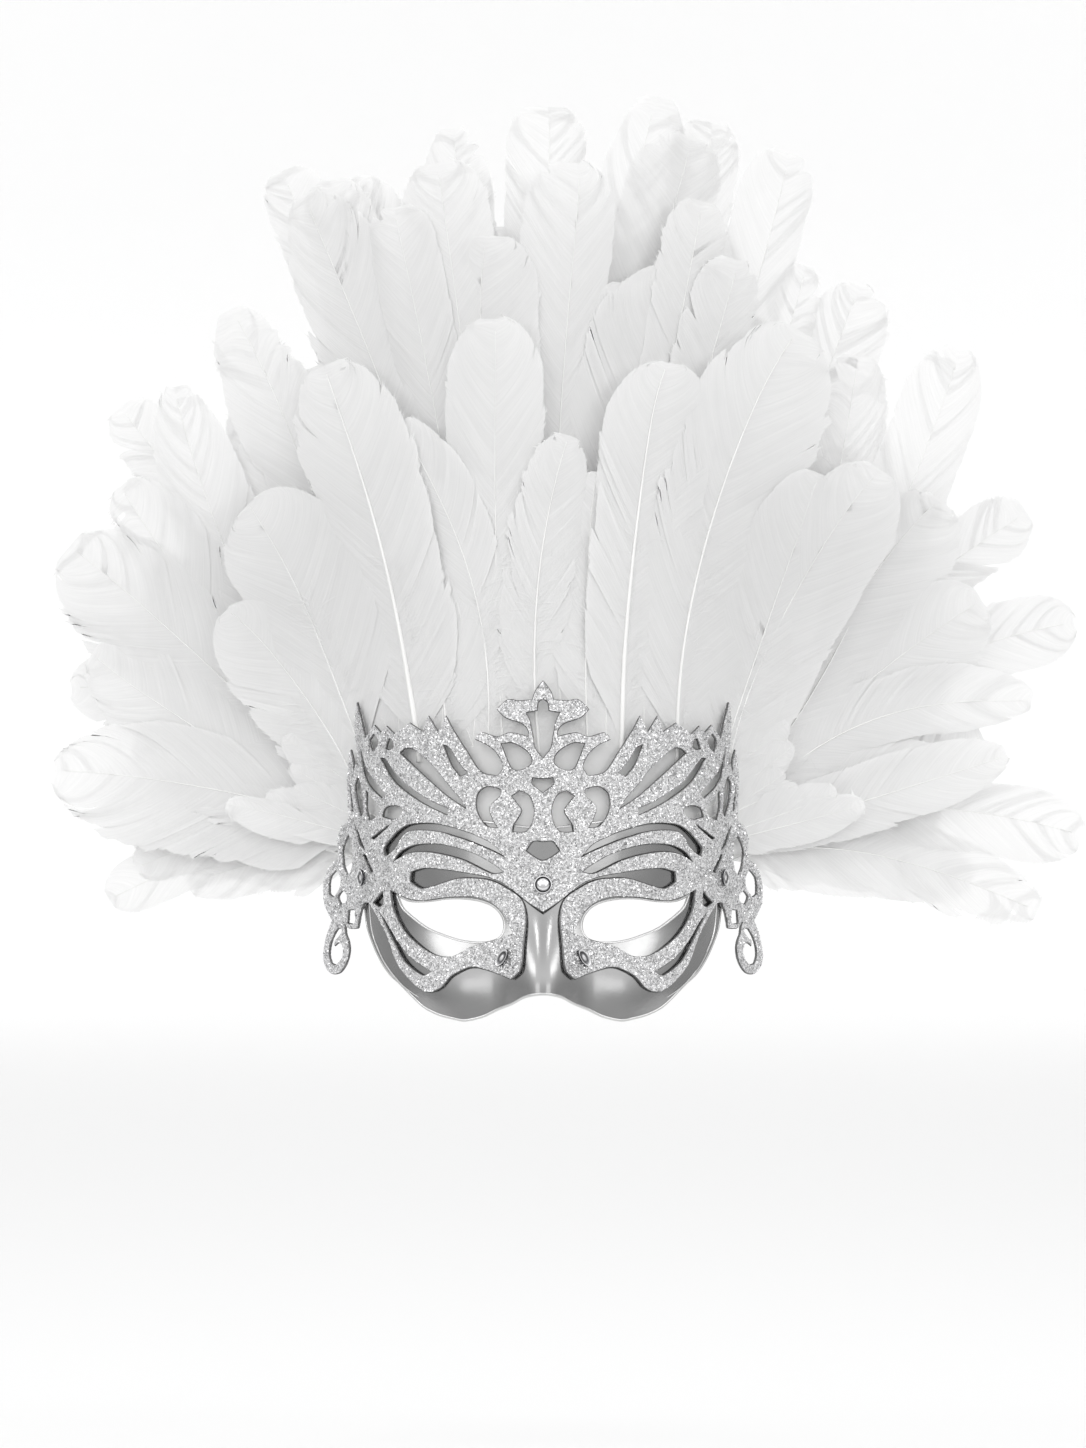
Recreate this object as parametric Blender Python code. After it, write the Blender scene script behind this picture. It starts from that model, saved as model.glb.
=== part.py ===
"""Feather masquerade mask: silver half mask, glitter lattice, studs and three feather rows.

Metres, +Z up, the face looks along -Y. The origin is the seat of the nose bridge
on the inner side of the shell.
"""
import math

import bmesh
import bpy
import numpy as np
from mathutils import Vector
from mathutils.geometry import delaunay_2d_cdt

MM = 0.001

# Front drawing: outlines are pairs of units, out from the centre line and up from the eyes
UNIT = 0.43

# Curve of the face seen from above, in millimetres
FACE_HALF = 82.0
FACE_DEPTH = 80.0
TEMPLE_X = 75.0
WING_SLOPE = 1.3
FLARE_BLEND = 5.0

# Relief of the face, in millimetres
NOSE_OUT = 15.0
NOSE_HALF = 13.0
NOSE_TOP = 10.0
NOSE_FOOT = -36.0
CHEEK_OUT = 3.5
CHEEK_X = 40.0
CHEEK_Z = -36.0
CHEEK_WIDE = 24.0
CHEEK_TALL = 16.0
SOCKET_IN = 3.0
SOCKET_X = 36.0
SOCKET_Z = -6.0
SOCKET_WIDE = 20.0
SOCKET_TALL = 11.0
CROWN_FOOT = 30.0
CROWN_LEAN = math.radians(7.0)

# Layers, measured outward from the inner side of the shell, in millimetres
SHELL_WALL = 1.6
PIECE_GAP = 0.35
LATTICE_IN = SHELL_WALL + PIECE_GAP
LATTICE_WALL = 1.5
LATTICE_OUT = LATTICE_IN + LATTICE_WALL
STRIP_WALL = 1.4
ROW_CLEARANCE = 1.0
ROW_STEP = STRIP_WALL + 2.0 * PIECE_GAP

# Mesh steps, in millimetres
SHELL_STEP = 7.0
LATTICE_STEP = 12.0
NOSE_STEP = 4.8
ROW_GRID = 28.0
ROW_EDGE = 20.0
EDGE_STEP = 8.0
STRAIGHT_TOLERANCE = 0.3
ROW_TOLERANCE = 1.5


# Outlines of the shell, left half
SHELL_EDGE = [
    (0, 76), (44, 81), (94, 86), (129, 86), (159, 82), (177, 76), (179, 55),
    (178, 15), (175, -21), (169, -40), (161, -57), (152, -70), (142, -79), (119, -101),
    (104, -109), (89, -113), (77, -115), (59, -111), (44, -104), (29, -98),
    (16, -91), (0, -88),
]
SHELL_EYE = [
    (145, 10), (140, -3), (130, -13), (114, -25), (98, -32), (82, -37), (66, -39),
    (52, -38), (41, -33), (37, -23), (39, -12), (47, -2), (59, 4), (76, 7),
    (94, 7), (114, 4), (132, 4),
]
STRAP_SLIT = [(167, 66), (147, 81), (150, 76), (164, 64)]

# Outer outline of the lattice, left half, in runs that follow each other
FINIAL_EDGE = [
    (0, 223), (7, 213), (10, 204), (24, 203), (34, 204), (44, 195), (36, 187),
    (20, 181), (14, 174), (14, 167), (32, 171), (44, 167), (59, 171), (65, 165),
    (54, 160), (44, 151), (38, 137), (44, 128), (60, 132), (74, 153), (87, 174),
]
SPIKE_EDGE = [
    (94, 188), (101, 171), (111, 188), (116, 172), (129, 181), (144, 170), (152, 178),
    (157, 171), (164, 179), (173, 165), (177, 183), (182, 202), (184, 177), (180, 139),
    (183, 140), (186, 128), (186, 140), (189, 154), (192, 125), (191, 83),
]
WING_FOOT = (205, -23)
WING_EDGE = [
    (198, 76), (202, 63), (201, 46), (210, 37), (216, 20), (216, 0), (211, -12),
    WING_FOOT, (195, -19), (191, -25), (181, -25), (178, -10), (174, 1), (168, 0),
]
EYE_FRAME_EDGE = [
    (154, -25), (149, -37), (140, -61), (124, -80), (111, -87), (99, -83), (89, -72),
    (74, -64), (64, -63), (41, -69), (27, -74), (18, -65), (16, -40), (15, -15),
    (20, 4), (34, 16), (49, 24), (64, 26.5), (84, 26), (117, 16), (129, 23),
    (128, 33), (114, 37), (89, 35), (59, 30), (47, 26.6), (36, 21), (24, 11),
    (13, 1), (0, -9),
]

# Openings of the lattice, left half
LATTICE_HOLES = {
    "leaf": [(41, 161), (30, 162), (18, 156), (11, 148), (11, 140), (20, 134),
             (30, 135), (36, 147)],
    "kidney_out": [(49, 118), (40, 115), (41, 108), (51, 97), (48, 85), (43, 76),
                   (55, 78), (64, 93), (64, 109), (57, 117)],
    "kidney_in": [(23, 114), (13, 109), (8, 95), (10, 81), (17, 72), (30, 72),
                  (29, 79), (21, 93), (25, 100), (31, 108)],
    "slot_inner": [(97, 160), (90, 157), (81, 142), (72, 131), (80, 127), (89, 139)],
    "slot_long": [(139, 151), (134, 156), (126, 156), (108, 141), (89, 117), (78, 104),
                  (73, 94), (92, 107), (112, 125)],
    "slot_outer": [(158, 146), (153, 146), (136, 124), (112, 106), (91, 96), (92, 88),
                   (119, 102), (144, 122)],
    "diamond": [(169, 164), (164, 171), (159, 164), (161, 157), (166, 151)],
    "notch_hole": [(153, 155), (150, 166), (146, 165), (144, 157), (148, 154)],
    "temple_arch": [(156, 87), (153, 96), (144, 99), (135, 96), (138, 88), (146, 84)],
    "crescent": [(178, 163), (176, 153), (170, 134), (152, 110), (156, 105), (168, 117),
                 (175, 133)],
    "wedge": [(172, 115), (164, 104), (157, 96), (161, 87), (169, 83), (172, 95)],
    "loop_hole": [(180, 129), (176, 117), (174, 91), (177, 86), (182, 102), (184, 119)],
    "side_slit": [(189.5, 122), (187, 108), (185, 91), (187.5, 93)],
    "wing_slit": [(185, 81), (178, 69), (172, 53), (178, 59)],
    "wing_loop": [(191, 69), (187, 63), (186, 47), (188, 33), (192, 27), (196, 37),
                  (197, 55)],
    "wing_ring": [(203, 34), (199, 25), (200, 15), (206, 5), (211, 9), (210, 25)],
    "wing_dot": [(202, 6), (197, 13), (192, 7), (194, 0), (199, -2)],
    "wing_tear": [(191, -7), (185, -6), (183, -17), (186, -22), (192, -21)],
    "temple_cut": [(175, 49), (172, 50), (164, 32), (167, 30)],
    "band_high": [(153, 47), (154, 57), (142, 72), (129, 80), (104, 81), (74, 73),
                  (49, 62), (36, 47), (54, 56), (82, 67), (109, 73), (132, 71),
                  (143, 55)],
    "band_low": [(145, 42), (139, 52), (124, 60), (99, 61), (69, 53), (47, 41),
                 (37, 33), (49, 31), (79, 45), (109, 52), (129, 51)],
    "eye": [(148, 15), (134, 8), (119, 5), (94, 9), (69, 10), (52, 5),
            (38, -7), (26, -30), (39, -35), (69, -44), (89, -54), (109, -50),
            (132, -31), (145, -7)],
    "under_eye": [(160, -6), (152, -17), (140, -38), (126, -55), (107, -68), (116, -72),
                  (134, -58), (148, -32)],
    "corner": [(165, 1), (155, 14), (154, 0), (159, -4)],
    "strap": STRAP_SLIT,
}
CENTRE_HOLES = {
    "finial_hole": [(0, 206), (-5, 202), (-6, 194), (-17, 192), (-13, 183), (-10, 167),
                    (-8, 156), (0, 145)],
    "heart": [(0, 126), (-10, 127), (-11, 120), (0, 111)],
    "brow_d": [(0, 64), (-10, 64), (-17, 54), (0, 44)],
}
CURL = {"in": 1.0, "drop": 28.0, "wide": 12.5, "tall": 21.0, "share": 0.52, "stem": 5.5}

# Studs: across and up on the drawing, half width and half height in millimetres, tilt
STUDS = [
    ("brow_stud", 0, 20, 4.0, 4.0, 0.0),
    ("cheek_stud_left", -35.5, -54, 2.2, 4.2, -32.0),
    ("cheek_stud_right", 35.5, -54, 2.2, 4.2, 32.0),
    ("temple_stud_left", -175, 26, 3.0, 3.6, 0.0),
    ("temple_stud_right", 175, 26, 3.0, 3.6, 0.0),
]
STUD_RIM = 0.9
STUD_DOME = 1.3
STUD_SHANK = 1.1
STUD_SIDES = 14
SHANK_END = 0.2
SHANK_CLEARANCE = 0.3

# Strip of the feather rows, left half
STRIP_EDGE = [
    (0, 163), (64, 159), (124, 157), (164, 153), (183, 135), (187, 105), (189, 75),
    (189, 39), (178, 33), (166, 60), (152, 93), (114, 113), (64, 119), (0, 121),
]

# Feathers: root, middle and tip across and up on the drawing, then the width
FEATHERS = {
    "front": [
        (-122, 143, -154, 345, -219, 543, 105), (-172, 130, -234, 305, -294, 403, 118),
        (80, 141, 101, 365, 128, 544, 105), (135, 139, 171, 365, 259, 577, 128),
        (183, 98, 231, 255, 341, 437, 95), (-3, 145, -6, 315, 26, 472, 75),
        (-39, 145, -47, 345, -47, 590, 90), (-56, 145, -64, 315, -144, 486, 65),
        (-94, 145, -114, 285, -139, 435, 90), (46, 145, 50, 305, 56, 435, 80),
        (172, 130, 216, 265, 276, 435, 90), (-182, 105, -244, 205, -319, 295, 90),
    ],
    "middle": [
        (-44, 145, -54, 405, -52, 673, 92), (1, 145, 6, 435, 32, 747, 84),
        (46, 145, 76, 385, 146, 639, 140), (96, 145, 126, 385, 194, 650, 66),
        (-64, 145, -124, 435, -239, 715, 110), (-84, 145, -144, 425, -214, 729, 70),
        (-54, 145, -94, 425, -149, 702, 62), (-34, 145, -64, 445, -104, 747, 82),
        (56, 145, 106, 425, 159, 708, 60), (-164, 115, -284, 285, -370, 522, 82),
        (-182, 85, -314, 215, -477, 360, 118), (183, 115, 256, 265, 316, 555, 76),
        (183, 105, 296, 265, 418, 560, 74), (183, 75, 316, 185, 492, 205, 66),
        (-182, 67, -304, 105, -492, 133, 122), (183, 60, 316, 105, 466, 151, 66),
        (-164, 125, -214, 345, -315, 599, 85), (183, 83, 306, 205, 441, 305, 92),
        (183, 95, 286, 255, 401, 405, 92), (-182, 90, -304, 265, -422, 423, 95),
        (-182, 75, -309, 160, -452, 255, 95),
    ],
    "back": [
        (-14, 145, -4, 475, 4, 803, 74), (16, 145, 56, 455, 117, 813, 90),
        (46, 145, 106, 455, 168, 788, 66), (76, 145, 156, 425, 244, 757, 68),
        (106, 145, 186, 405, 262, 643, 60), (146, 140, 226, 365, 321, 622, 76),
        (181, 115, 276, 285, 391, 425, 92), (184, 105, 316, 265, 486, 395, 64),
        (184, 90, 336, 215, 534, 283, 66), (184, 55, 336, 95, 542, 67, 68),
        (184, 43, 316, 55, 498, -7, 80), (-44, 145, -74, 455, -89, 781, 76),
        (-74, 145, -144, 435, -262, 739, 62), (-104, 145, -194, 345, -312, 593, 66),
        (-144, 135, -284, 325, -424, 501, 64), (-182, 70, -304, 185, -474, 215, 78),
        (-182, 85, -304, 245, -475, 320, 80), (-182, 47, -304, 55, -436, 5, 52),
        (-182, 43, -294, 67, -408, 37, 46), (-144, 140, -224, 345, -304, 505, 70),
        (184, 63, 316, 115, 441, 170, 92), (31, 145, 71, 465, 146, 773, 84),
        (-64, 145, -114, 455, -199, 727, 84), (-182, 57, -304, 95, -448, 99, 95),
    ],
}
ROW_ORDER = ("front", "middle", "back")
WING_END_X = 94.0
SIDE_SWEEP = 0.28
FAN_DEPTH = 58.0
FAN_HALF = 110.0
FAN_SWEEP = 0.14
FAN_FOOT = 90.0
FAN_RISE = 110.0
CROWN_RADIUS = 75.0
ROW_SPREAD = 0.14
ROW_SPREAD_MOST = 9.0
RIDGE_RISE = 1.6
RIDGE_START = 6.0
RIDGE_FULL = 40.0
QUILL_HALF = 1.6
SMALLEST_GAP = 60.0
BLADE_SHAPE = [
    (0.00, 0.00), (0.12, 0.06), (0.24, 0.34), (0.40, 0.74), (0.58, 0.95), (0.76, 1.00),
    (0.88, 0.90), (0.94, 0.72), (0.98, 0.45),
]

# Surfaces: colour, metallic, roughness
MATERIALS = {
    "silver_satin": ((0.62, 0.62, 0.63), 0.95, 0.24),
    "silver_glitter": ((0.70, 0.70, 0.71), 0.80, 0.42),
    "polished_stud": ((0.55, 0.55, 0.56), 1.00, 0.14),
    "white_feather": ((0.90, 0.90, 0.89), 0.00, 0.75),
}


def clear_scene():
    """Start from nothing."""
    for obj in list(bpy.data.objects):
        bpy.data.objects.remove(obj)


def material(name):
    """Principled material from the table, made once."""
    found = bpy.data.materials.get(name)
    if found:
        return found
    colour, metallic, rough = MATERIALS[name]
    made = bpy.data.materials.new(name)
    made.use_nodes = True
    made.diffuse_color = (*colour, 1.0)
    shader = made.node_tree.nodes["Principled BSDF"]
    shader.inputs["Base Color"].default_value = (*colour, 1.0)
    shader.inputs["Metallic"].default_value = metallic
    shader.inputs["Roughness"].default_value = rough
    return made


def plan_tables():
    """Depth and length along the face curve against the distance from the centre."""
    across = np.linspace(0.0, 260.0, 2601)
    share = np.minimum(across, TEMPLE_X + FLARE_BLEND) / FACE_HALF
    share = np.minimum(share, 0.985)
    round_slope = FACE_DEPTH / FACE_HALF * share / np.sqrt(1.0 - share ** 2)
    blend = np.clip((across - TEMPLE_X) / FLARE_BLEND, 0.0, 1.0)
    blend = blend * blend * (3.0 - 2.0 * blend)
    slope = round_slope * (1.0 - blend) + WING_SLOPE * blend
    beyond = np.clip((across - WING_END_X) / FLARE_BLEND, 0.0, 1.0)
    slope = slope * (1.0 - beyond) + SIDE_SWEEP * beyond
    step = across[1] - across[0]
    middle = 0.5 * (slope[1:] + slope[:-1])
    depth = np.concatenate(([0.0], np.cumsum(middle) * step))
    run = np.concatenate(([0.0], np.cumsum(np.sqrt(1.0 + middle ** 2)) * step))
    return across, depth, run, slope


PLAN_ACROSS, PLAN_DEPTH, PLAN_RUN, PLAN_SLOPE = plan_tables()


def plan_depth(x):
    """How far back the face curve lies at a distance from the centre."""
    return float(np.interp(abs(x), PLAN_ACROSS, PLAN_DEPTH))


def plan_slope(x):
    """Slope of the face curve at a distance from the centre."""
    return float(np.interp(abs(x), PLAN_ACROSS, PLAN_SLOPE))


def plan_run(x):
    """Length along the face curve, with the sign of x."""
    return math.copysign(float(np.interp(abs(x), PLAN_ACROSS, PLAN_RUN)), x)


def run_to_x(run):
    """Distance from the centre for a length along the face curve."""
    return math.copysign(float(np.interp(abs(run), PLAN_RUN, PLAN_ACROSS)), run)


def bump(value, centre, half):
    """Smooth hill of height one."""
    return math.exp(-((value - centre) / half) ** 2)


def ease(value):
    """Smooth step from 0 to 1."""
    value = min(max(value, 0.0), 1.0)
    return value * value * (3.0 - 2.0 * value)


def face_depth(x, z):
    """Depth of the inner side of the shell in millimetres."""
    nose = NOSE_OUT * bump(x, 0.0, NOSE_HALF) * ease((NOSE_TOP - z) / (NOSE_TOP - NOSE_FOOT))
    cheek = CHEEK_OUT * bump(abs(x), CHEEK_X, CHEEK_WIDE) * bump(z, CHEEK_Z, CHEEK_TALL)
    socket = SOCKET_IN * bump(abs(x), SOCKET_X, SOCKET_WIDE) * bump(z, SOCKET_Z, SOCKET_TALL)
    lean = max(z - CROWN_FOOT, 0.0) * math.tan(CROWN_LEAN)
    return plan_depth(x) - nose - cheek + socket + lean


SEAT_DEPTH = face_depth(0.0, 0.0)


def face_point(x, z, out):
    """Point of the face surface moved outward, in millimetres."""
    step = 0.5
    slope_x = (face_depth(x + step, z) - face_depth(x - step, z)) / (2.0 * step)
    slope_z = (face_depth(x, z + step) - face_depth(x, z - step)) / (2.0 * step)
    normal = Vector((slope_x, -1.0, slope_z)).normalized()
    return Vector((x, face_depth(x, z) - SEAT_DEPTH, z)) + normal * out


def drawn(points):
    """Drawing units of the left half to millimetres."""
    return [(-out * UNIT, up * UNIT) for out, up in points]


def mirrored(points):
    """The same outline on the other half, with the turn kept."""
    return [(-x, z) for x, z in reversed(points)]


def turn_angle(before, here, after):
    """Change of direction at a point, in degrees."""
    first = Vector((here[0] - before[0], here[1] - before[1]))
    second = Vector((after[0] - here[0], after[1] - here[1]))
    if first.length < 1e-6 or second.length < 1e-6:
        return 180.0
    return math.degrees(abs(first.angle_signed(second)))


def smooth_loop(points, pieces=3, corner=62.0):
    """Closed curve through the points, with sharp points kept sharp."""
    count = len(points)
    sharp = [
        turn_angle(points[i - 1], points[i], points[(i + 1) % count]) > corner
        for i in range(count)
    ]
    result = []
    for i in range(count):
        p0, p1 = points[i - 1], points[i]
        p2, p3 = points[(i + 1) % count], points[(i + 2) % count]
        start = (0.0, 0.0) if sharp[i] else ((p2[0] - p0[0]) / 2, (p2[1] - p0[1]) / 2)
        end = start
        j = (i + 1) % count
        end = (0.0, 0.0) if sharp[j] else ((p3[0] - p1[0]) / 2, (p3[1] - p1[1]) / 2)
        chord = math.dist(p1, p2)
        start = limited(start, chord)
        end = limited(end, chord)
        for k in range(pieces):
            result.append(hermite(p1, p2, start, end, k / pieces))
    return result


def limited(tangent, chord):
    """Tangent no longer than the chord."""
    length = math.hypot(*tangent)
    if length <= chord:
        return tangent
    return (tangent[0] * chord / length, tangent[1] * chord / length)


def hermite(p1, p2, m1, m2, t):
    """Point of a cubic between two points."""
    h1 = 2 * t ** 3 - 3 * t ** 2 + 1
    h2 = t ** 3 - 2 * t ** 2 + t
    h3 = -2 * t ** 3 + 3 * t ** 2
    h4 = t ** 3 - t ** 2
    return tuple(h1 * p1[k] + h2 * m1[k] + h3 * p2[k] + h4 * m2[k] for k in (0, 1))


def both_halves(run):
    """Full outline from a left half that starts and ends on the centre line."""
    return run + mirrored(run)[1:-1]


def unrolled(points):
    """Millimetres on the front drawing to millimetres along the sheet."""
    return [(plan_run(x), z) for x, z in points]


def signed_area(points):
    """Area of a loop, positive when it turns left."""
    total = 0.0
    for i, (x1, y1) in enumerate(points):
        x0, y0 = points[i - 1]
        total += x0 * y1 - x1 * y0
    return total / 2.0


def turned_left(points):
    """The loop with a left turn."""
    return points if signed_area(points) > 0 else list(reversed(points))


def union_loops(solids, holes, additions):
    """Boundary loops of solids less holes plus additions, all flat."""
    faces = [turned_left(p) for p in solids + holes + additions]
    coords, rings = [], []
    for face in faces:
        rings.append(list(range(len(coords), len(coords) + len(face))))
        coords.extend(Vector(p) for p in face)
    verts, _edges, out_faces, _ov, _oe, origins = delaunay_2d_cdt(coords, [], rings, 1, 1e-4)
    first_hole, first_addition = len(solids), len(solids) + len(holes)
    kept = []
    for face, origin in zip(out_faces, origins):
        in_solid = any(i < first_hole for i in origin)
        in_hole = any(first_hole <= i < first_addition for i in origin)
        added = any(i >= first_addition for i in origin)
        if (in_solid and not in_hole) or added:
            kept.append(face)
    edges = {}
    for face in kept:
        for a, b in zip(face, face[1:] + face[:1]):
            edges[(a, b)] = True
    border = {}
    for a, b in edges:
        if (b, a) not in edges:
            border.setdefault(a, []).append(b)
    return chained(border, verts)


def chained(border, verts):
    """Directed border edges to loops of points."""
    loops = []
    while border:
        start = next(iter(border))
        loop, here = [], start
        while here in border:
            loop.append(tuple(verts[here]))
            nexts = border[here]
            following = nexts.pop()
            if not nexts:
                del border[here]
            here = following
        loops.append(loop)
    return loops


def simplified(loop, tolerance, longest):
    """Loop with needless points dropped and long sides divided."""
    keep = farthest_pair_split(loop, tolerance)
    result = []
    for i, point in enumerate(keep):
        after = keep[(i + 1) % len(keep)]
        pieces = max(1, math.ceil(math.dist(point, after) / longest))
        for k in range(pieces):
            t = k / pieces
            result.append((point[0] + (after[0] - point[0]) * t,
                           point[1] + (after[1] - point[1]) * t))
    return result


def farthest_pair_split(loop, tolerance):
    """Douglas and Peucker on a closed loop."""
    middle = max(range(len(loop)), key=lambda i: math.dist(loop[0], loop[i]))
    first = thinned(loop[:middle + 1], tolerance)
    second = thinned(loop[middle:] + loop[:1], tolerance)
    return first[:-1] + second[:-1]


def thinned(run, tolerance):
    """Douglas and Peucker on an open run."""
    if len(run) < 3:
        return run
    a, b = run[0], run[-1]
    base = max(math.dist(a, b), 1e-9)
    far, index = 0.0, 0
    for i in range(1, len(run) - 1):
        cross = (b[0] - a[0]) * (run[i][1] - a[1]) - (b[1] - a[1]) * (run[i][0] - a[0])
        away = abs(cross) / base
        if away > far:
            far, index = away, i
    if far < tolerance:
        return [a, b]
    return thinned(run[:index + 1], tolerance)[:-1] + thinned(run[index:], tolerance)


def inside(points, loops):
    """Even and odd test of many points against all loops."""
    points = np.asarray(points, dtype=float)
    odd = np.zeros(len(points), dtype=bool)
    for loop in loops:
        ring = np.asarray(loop)
        nxt = np.roll(ring, -1, axis=0)
        for (x0, y0), (x1, y1) in zip(ring, nxt):
            if y0 == y1:
                continue
            crosses = (points[:, 1] < y0) != (points[:, 1] < y1)
            at = x0 + (points[:, 1] - y0) * (x1 - x0) / (y1 - y0)
            odd ^= crosses & (points[:, 0] < at)
    return odd


def border_distance(points, loops):
    """Distance of many points from the nearest loop."""
    points = np.asarray(points, dtype=float)
    best = np.full(len(points), 1e9)
    for loop in loops:
        ring = np.asarray(loop)
        nxt = np.roll(ring, -1, axis=0)
        for start, end in zip(ring, nxt):
            side = end - start
            square = max(float(side @ side), 1e-12)
            t = np.clip(((points - start) @ side) / square, 0.0, 1.0)
            away = np.hypot(*(points - start - t[:, None] * side).T)
            best = np.minimum(best, away)
    return best


def inner_points(loops, step, extra):
    """Inner points of a sheet: the extra places, then a regular grid between them."""
    flat = np.concatenate([np.asarray(loop) for loop in loops])
    low, high = flat.min(axis=0), flat.max(axis=0)
    rows = np.arange(low[1] + step / 2, high[1], step * 0.87)
    points = []
    for number, level in enumerate(rows):
        shift = step / 2 if number % 2 else 0.0
        start = math.floor(low[0] / step) * step + shift
        points.extend((x, level) for x in np.arange(start, high[0], step))
    chosen = []
    for group, clearance in ((extra, 0.2), (points, 0.45)):
        if not len(group):
            continue
        group = np.asarray(group)
        good = inside(group, loops) & (border_distance(group, loops) > step * clearance)
        for point in group[good]:
            if all(math.dist(point, other) > step * 0.4 for other in chosen):
                chosen.append(tuple(point))
    return chosen


def flat_triangles(loops, step, extra=()):
    """Triangles that fill the loops, with inner points on a grid and at the extra places."""
    coords, edges = [], []
    for loop in loops:
        first = len(coords)
        coords.extend(Vector(p) for p in loop)
        count = len(loop)
        edges.extend((first + i, first + (i + 1) % count) for i in range(count))
    coords.extend(Vector(p) for p in inner_points(loops, step, extra))
    verts, _e, faces, _ov, _oe, _of = delaunay_2d_cdt(coords, edges, [], 0, 1e-5)
    centres = [sum((verts[i] for i in face), Vector((0, 0))) / 3.0 for face in faces]
    good = inside([tuple(c) for c in centres], loops)
    return verts, [face for face, ok in zip(faces, good) if ok]


def add_object(name, verts, faces, slot):
    """Mesh object with outward faces."""
    mesh = bpy.data.meshes.new(name)
    mesh.from_pydata([tuple(v) for v in verts], [], faces)
    work = bmesh.new()
    work.from_mesh(mesh)
    loose = [v for v in work.verts if not v.link_faces]
    bmesh.ops.delete(work, geom=loose, context="VERTS")
    bmesh.ops.recalc_face_normals(work, faces=work.faces)
    if work.calc_volume(signed=True) < 0:
        bmesh.ops.reverse_faces(work, faces=work.faces)
    work.to_mesh(mesh)
    work.free()
    mesh.materials.append(material(slot))
    obj = bpy.data.objects.new(name, mesh)
    bpy.context.scene.collection.objects.link(obj)
    return obj


def nose_points():
    """Places along the sheet that follow the nose bridge closely."""
    return [(plan_run(x), z) for z in np.arange(NOSE_FOOT, NOSE_TOP + NOSE_STEP, NOSE_STEP)
            for x in np.arange(-1.5 * NOSE_HALF, 1.6 * NOSE_HALF, NOSE_STEP)]


def sheet_body(loops, inner, outer, step):
    """Closed sheet between two offsets of the face surface."""
    flat, faces = flat_triangles(loops, step, nose_points())
    places = [(run_to_x(p[0]), p[1]) for p in flat]
    back = [face_point(x, z, inner) * MM for x, z in places]
    front = [face_point(x, z, outer) * MM for x, z in places]
    return closed_sheet(back, front, faces)


def closed_sheet(back, front, faces):
    """Points and faces of a sheet closed round its border."""
    count = len(back)
    solid = [tuple(i + count for i in face) for face in faces]
    solid += [tuple(reversed(face)) for face in faces]
    sides = {}
    for face in faces:
        for a, b in zip(face, face[1:] + face[:1]):
            sides[(a, b)] = True
    for a, b in sides:
        if (b, a) not in sides:
            solid.append((a, b, b + count))
            solid.append((a, b + count, a + count))
    return back + front, solid


def oval(wide, tall, tilt, sides):
    """Points of a tilted oval round the middle."""
    turn = math.radians(tilt)
    points = []
    for i in range(sides):
        angle = 2.0 * math.pi * i / sides
        a, b = wide * math.cos(angle), tall * math.sin(angle)
        points.append((a * math.cos(turn) - b * math.sin(turn),
                       a * math.sin(turn) + b * math.cos(turn)))
    return points


def shank_holes():
    """Clearance holes for every stud shank, along the sheet."""
    holes = []
    radius = STUD_SHANK + SHANK_CLEARANCE
    for _name, across, up, _wide, _tall, _tilt in STUDS:
        run, z = plan_run(across * UNIT), up * UNIT
        holes.append([(run + a, z + b) for a, b in oval(radius, radius, 0.0, 8)])
    return holes


def mask_shell():
    """Smooth silver half mask."""
    edge = smooth_loop(both_halves(drawn(SHELL_EDGE)), 2)
    loops = [edge]
    for hole in (smooth_loop(drawn(SHELL_EYE), 2), drawn(STRAP_SLIT)):
        loops += [hole, mirrored(hole)]
    loops = [simplified(unrolled(loop), STRAIGHT_TOLERANCE, EDGE_STEP) for loop in loops]
    loops += shank_holes()
    verts, faces = sheet_body(loops, 0.0, SHELL_WALL, SHELL_STEP)
    return add_object("mask_shell", verts, faces, "silver_satin")


def lattice_loops():
    """Border loops of the lattice, along the sheet."""
    half = FINIAL_EDGE + SPIKE_EDGE + WING_EDGE + EYE_FRAME_EDGE
    outline = smooth_loop(both_halves(drawn(half)), 3)
    holes = []
    for points in LATTICE_HOLES.values():
        hole = smooth_loop(drawn(points), 3)
        holes += [hole, mirrored(hole)]
    for points in CENTRE_HOLES.values():
        right = [(x, z) for x, z in drawn(points)]
        left = [(-x, z) for x, z in reversed(right)]
        holes.append(smooth_loop(right + left[1:-1], 3))
    outer, inner, stem = curl_outlines()
    solids = [outline, outer, mirrored(outer), stem, mirrored(stem)]
    holes += [inner, mirrored(inner)]
    solids = [unrolled(p) for p in solids]
    holes = [unrolled(p) for p in holes]
    loops = union_loops(solids, holes + shank_holes(), [])
    return [simplified(loop, STRAIGHT_TOLERANCE, EDGE_STEP) for loop in loops]


def curl_outlines():
    """Ring of the hanging curl, its hole, and the stem that ties it to the wing."""
    (foot_x, foot_z), = drawn([WING_FOOT])
    ring_x, ring_z = foot_x + CURL["in"] * UNIT, foot_z - CURL["drop"] * UNIT
    wide, tall = CURL["wide"] * UNIT, CURL["tall"] * UNIT
    outer = [(ring_x + a, ring_z + b) for a, b in oval(wide, tall, 0.0, 24)]
    share = CURL["share"]
    inner = [(ring_x + a * share, ring_z + b * share) for a, b in oval(wide, tall, 0.0, 20)]
    half, wall = CURL["stem"] * UNIT, tall * (1.0 - share)
    top, low = foot_z + 3.0 * half, ring_z + tall - wall / 2.0
    stem = [(foot_x - half, top), (ring_x - half, low), (ring_x + half, low),
            (foot_x + 2.0 * half, top - half)]
    return outer, inner, stem


def glitter_lattice():
    """Cut sheet over the shell."""
    verts, faces = sheet_body(lattice_loops(), LATTICE_IN, LATTICE_OUT, LATTICE_STEP)
    return add_object("glitter_lattice", verts, faces, "silver_glitter")


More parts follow.
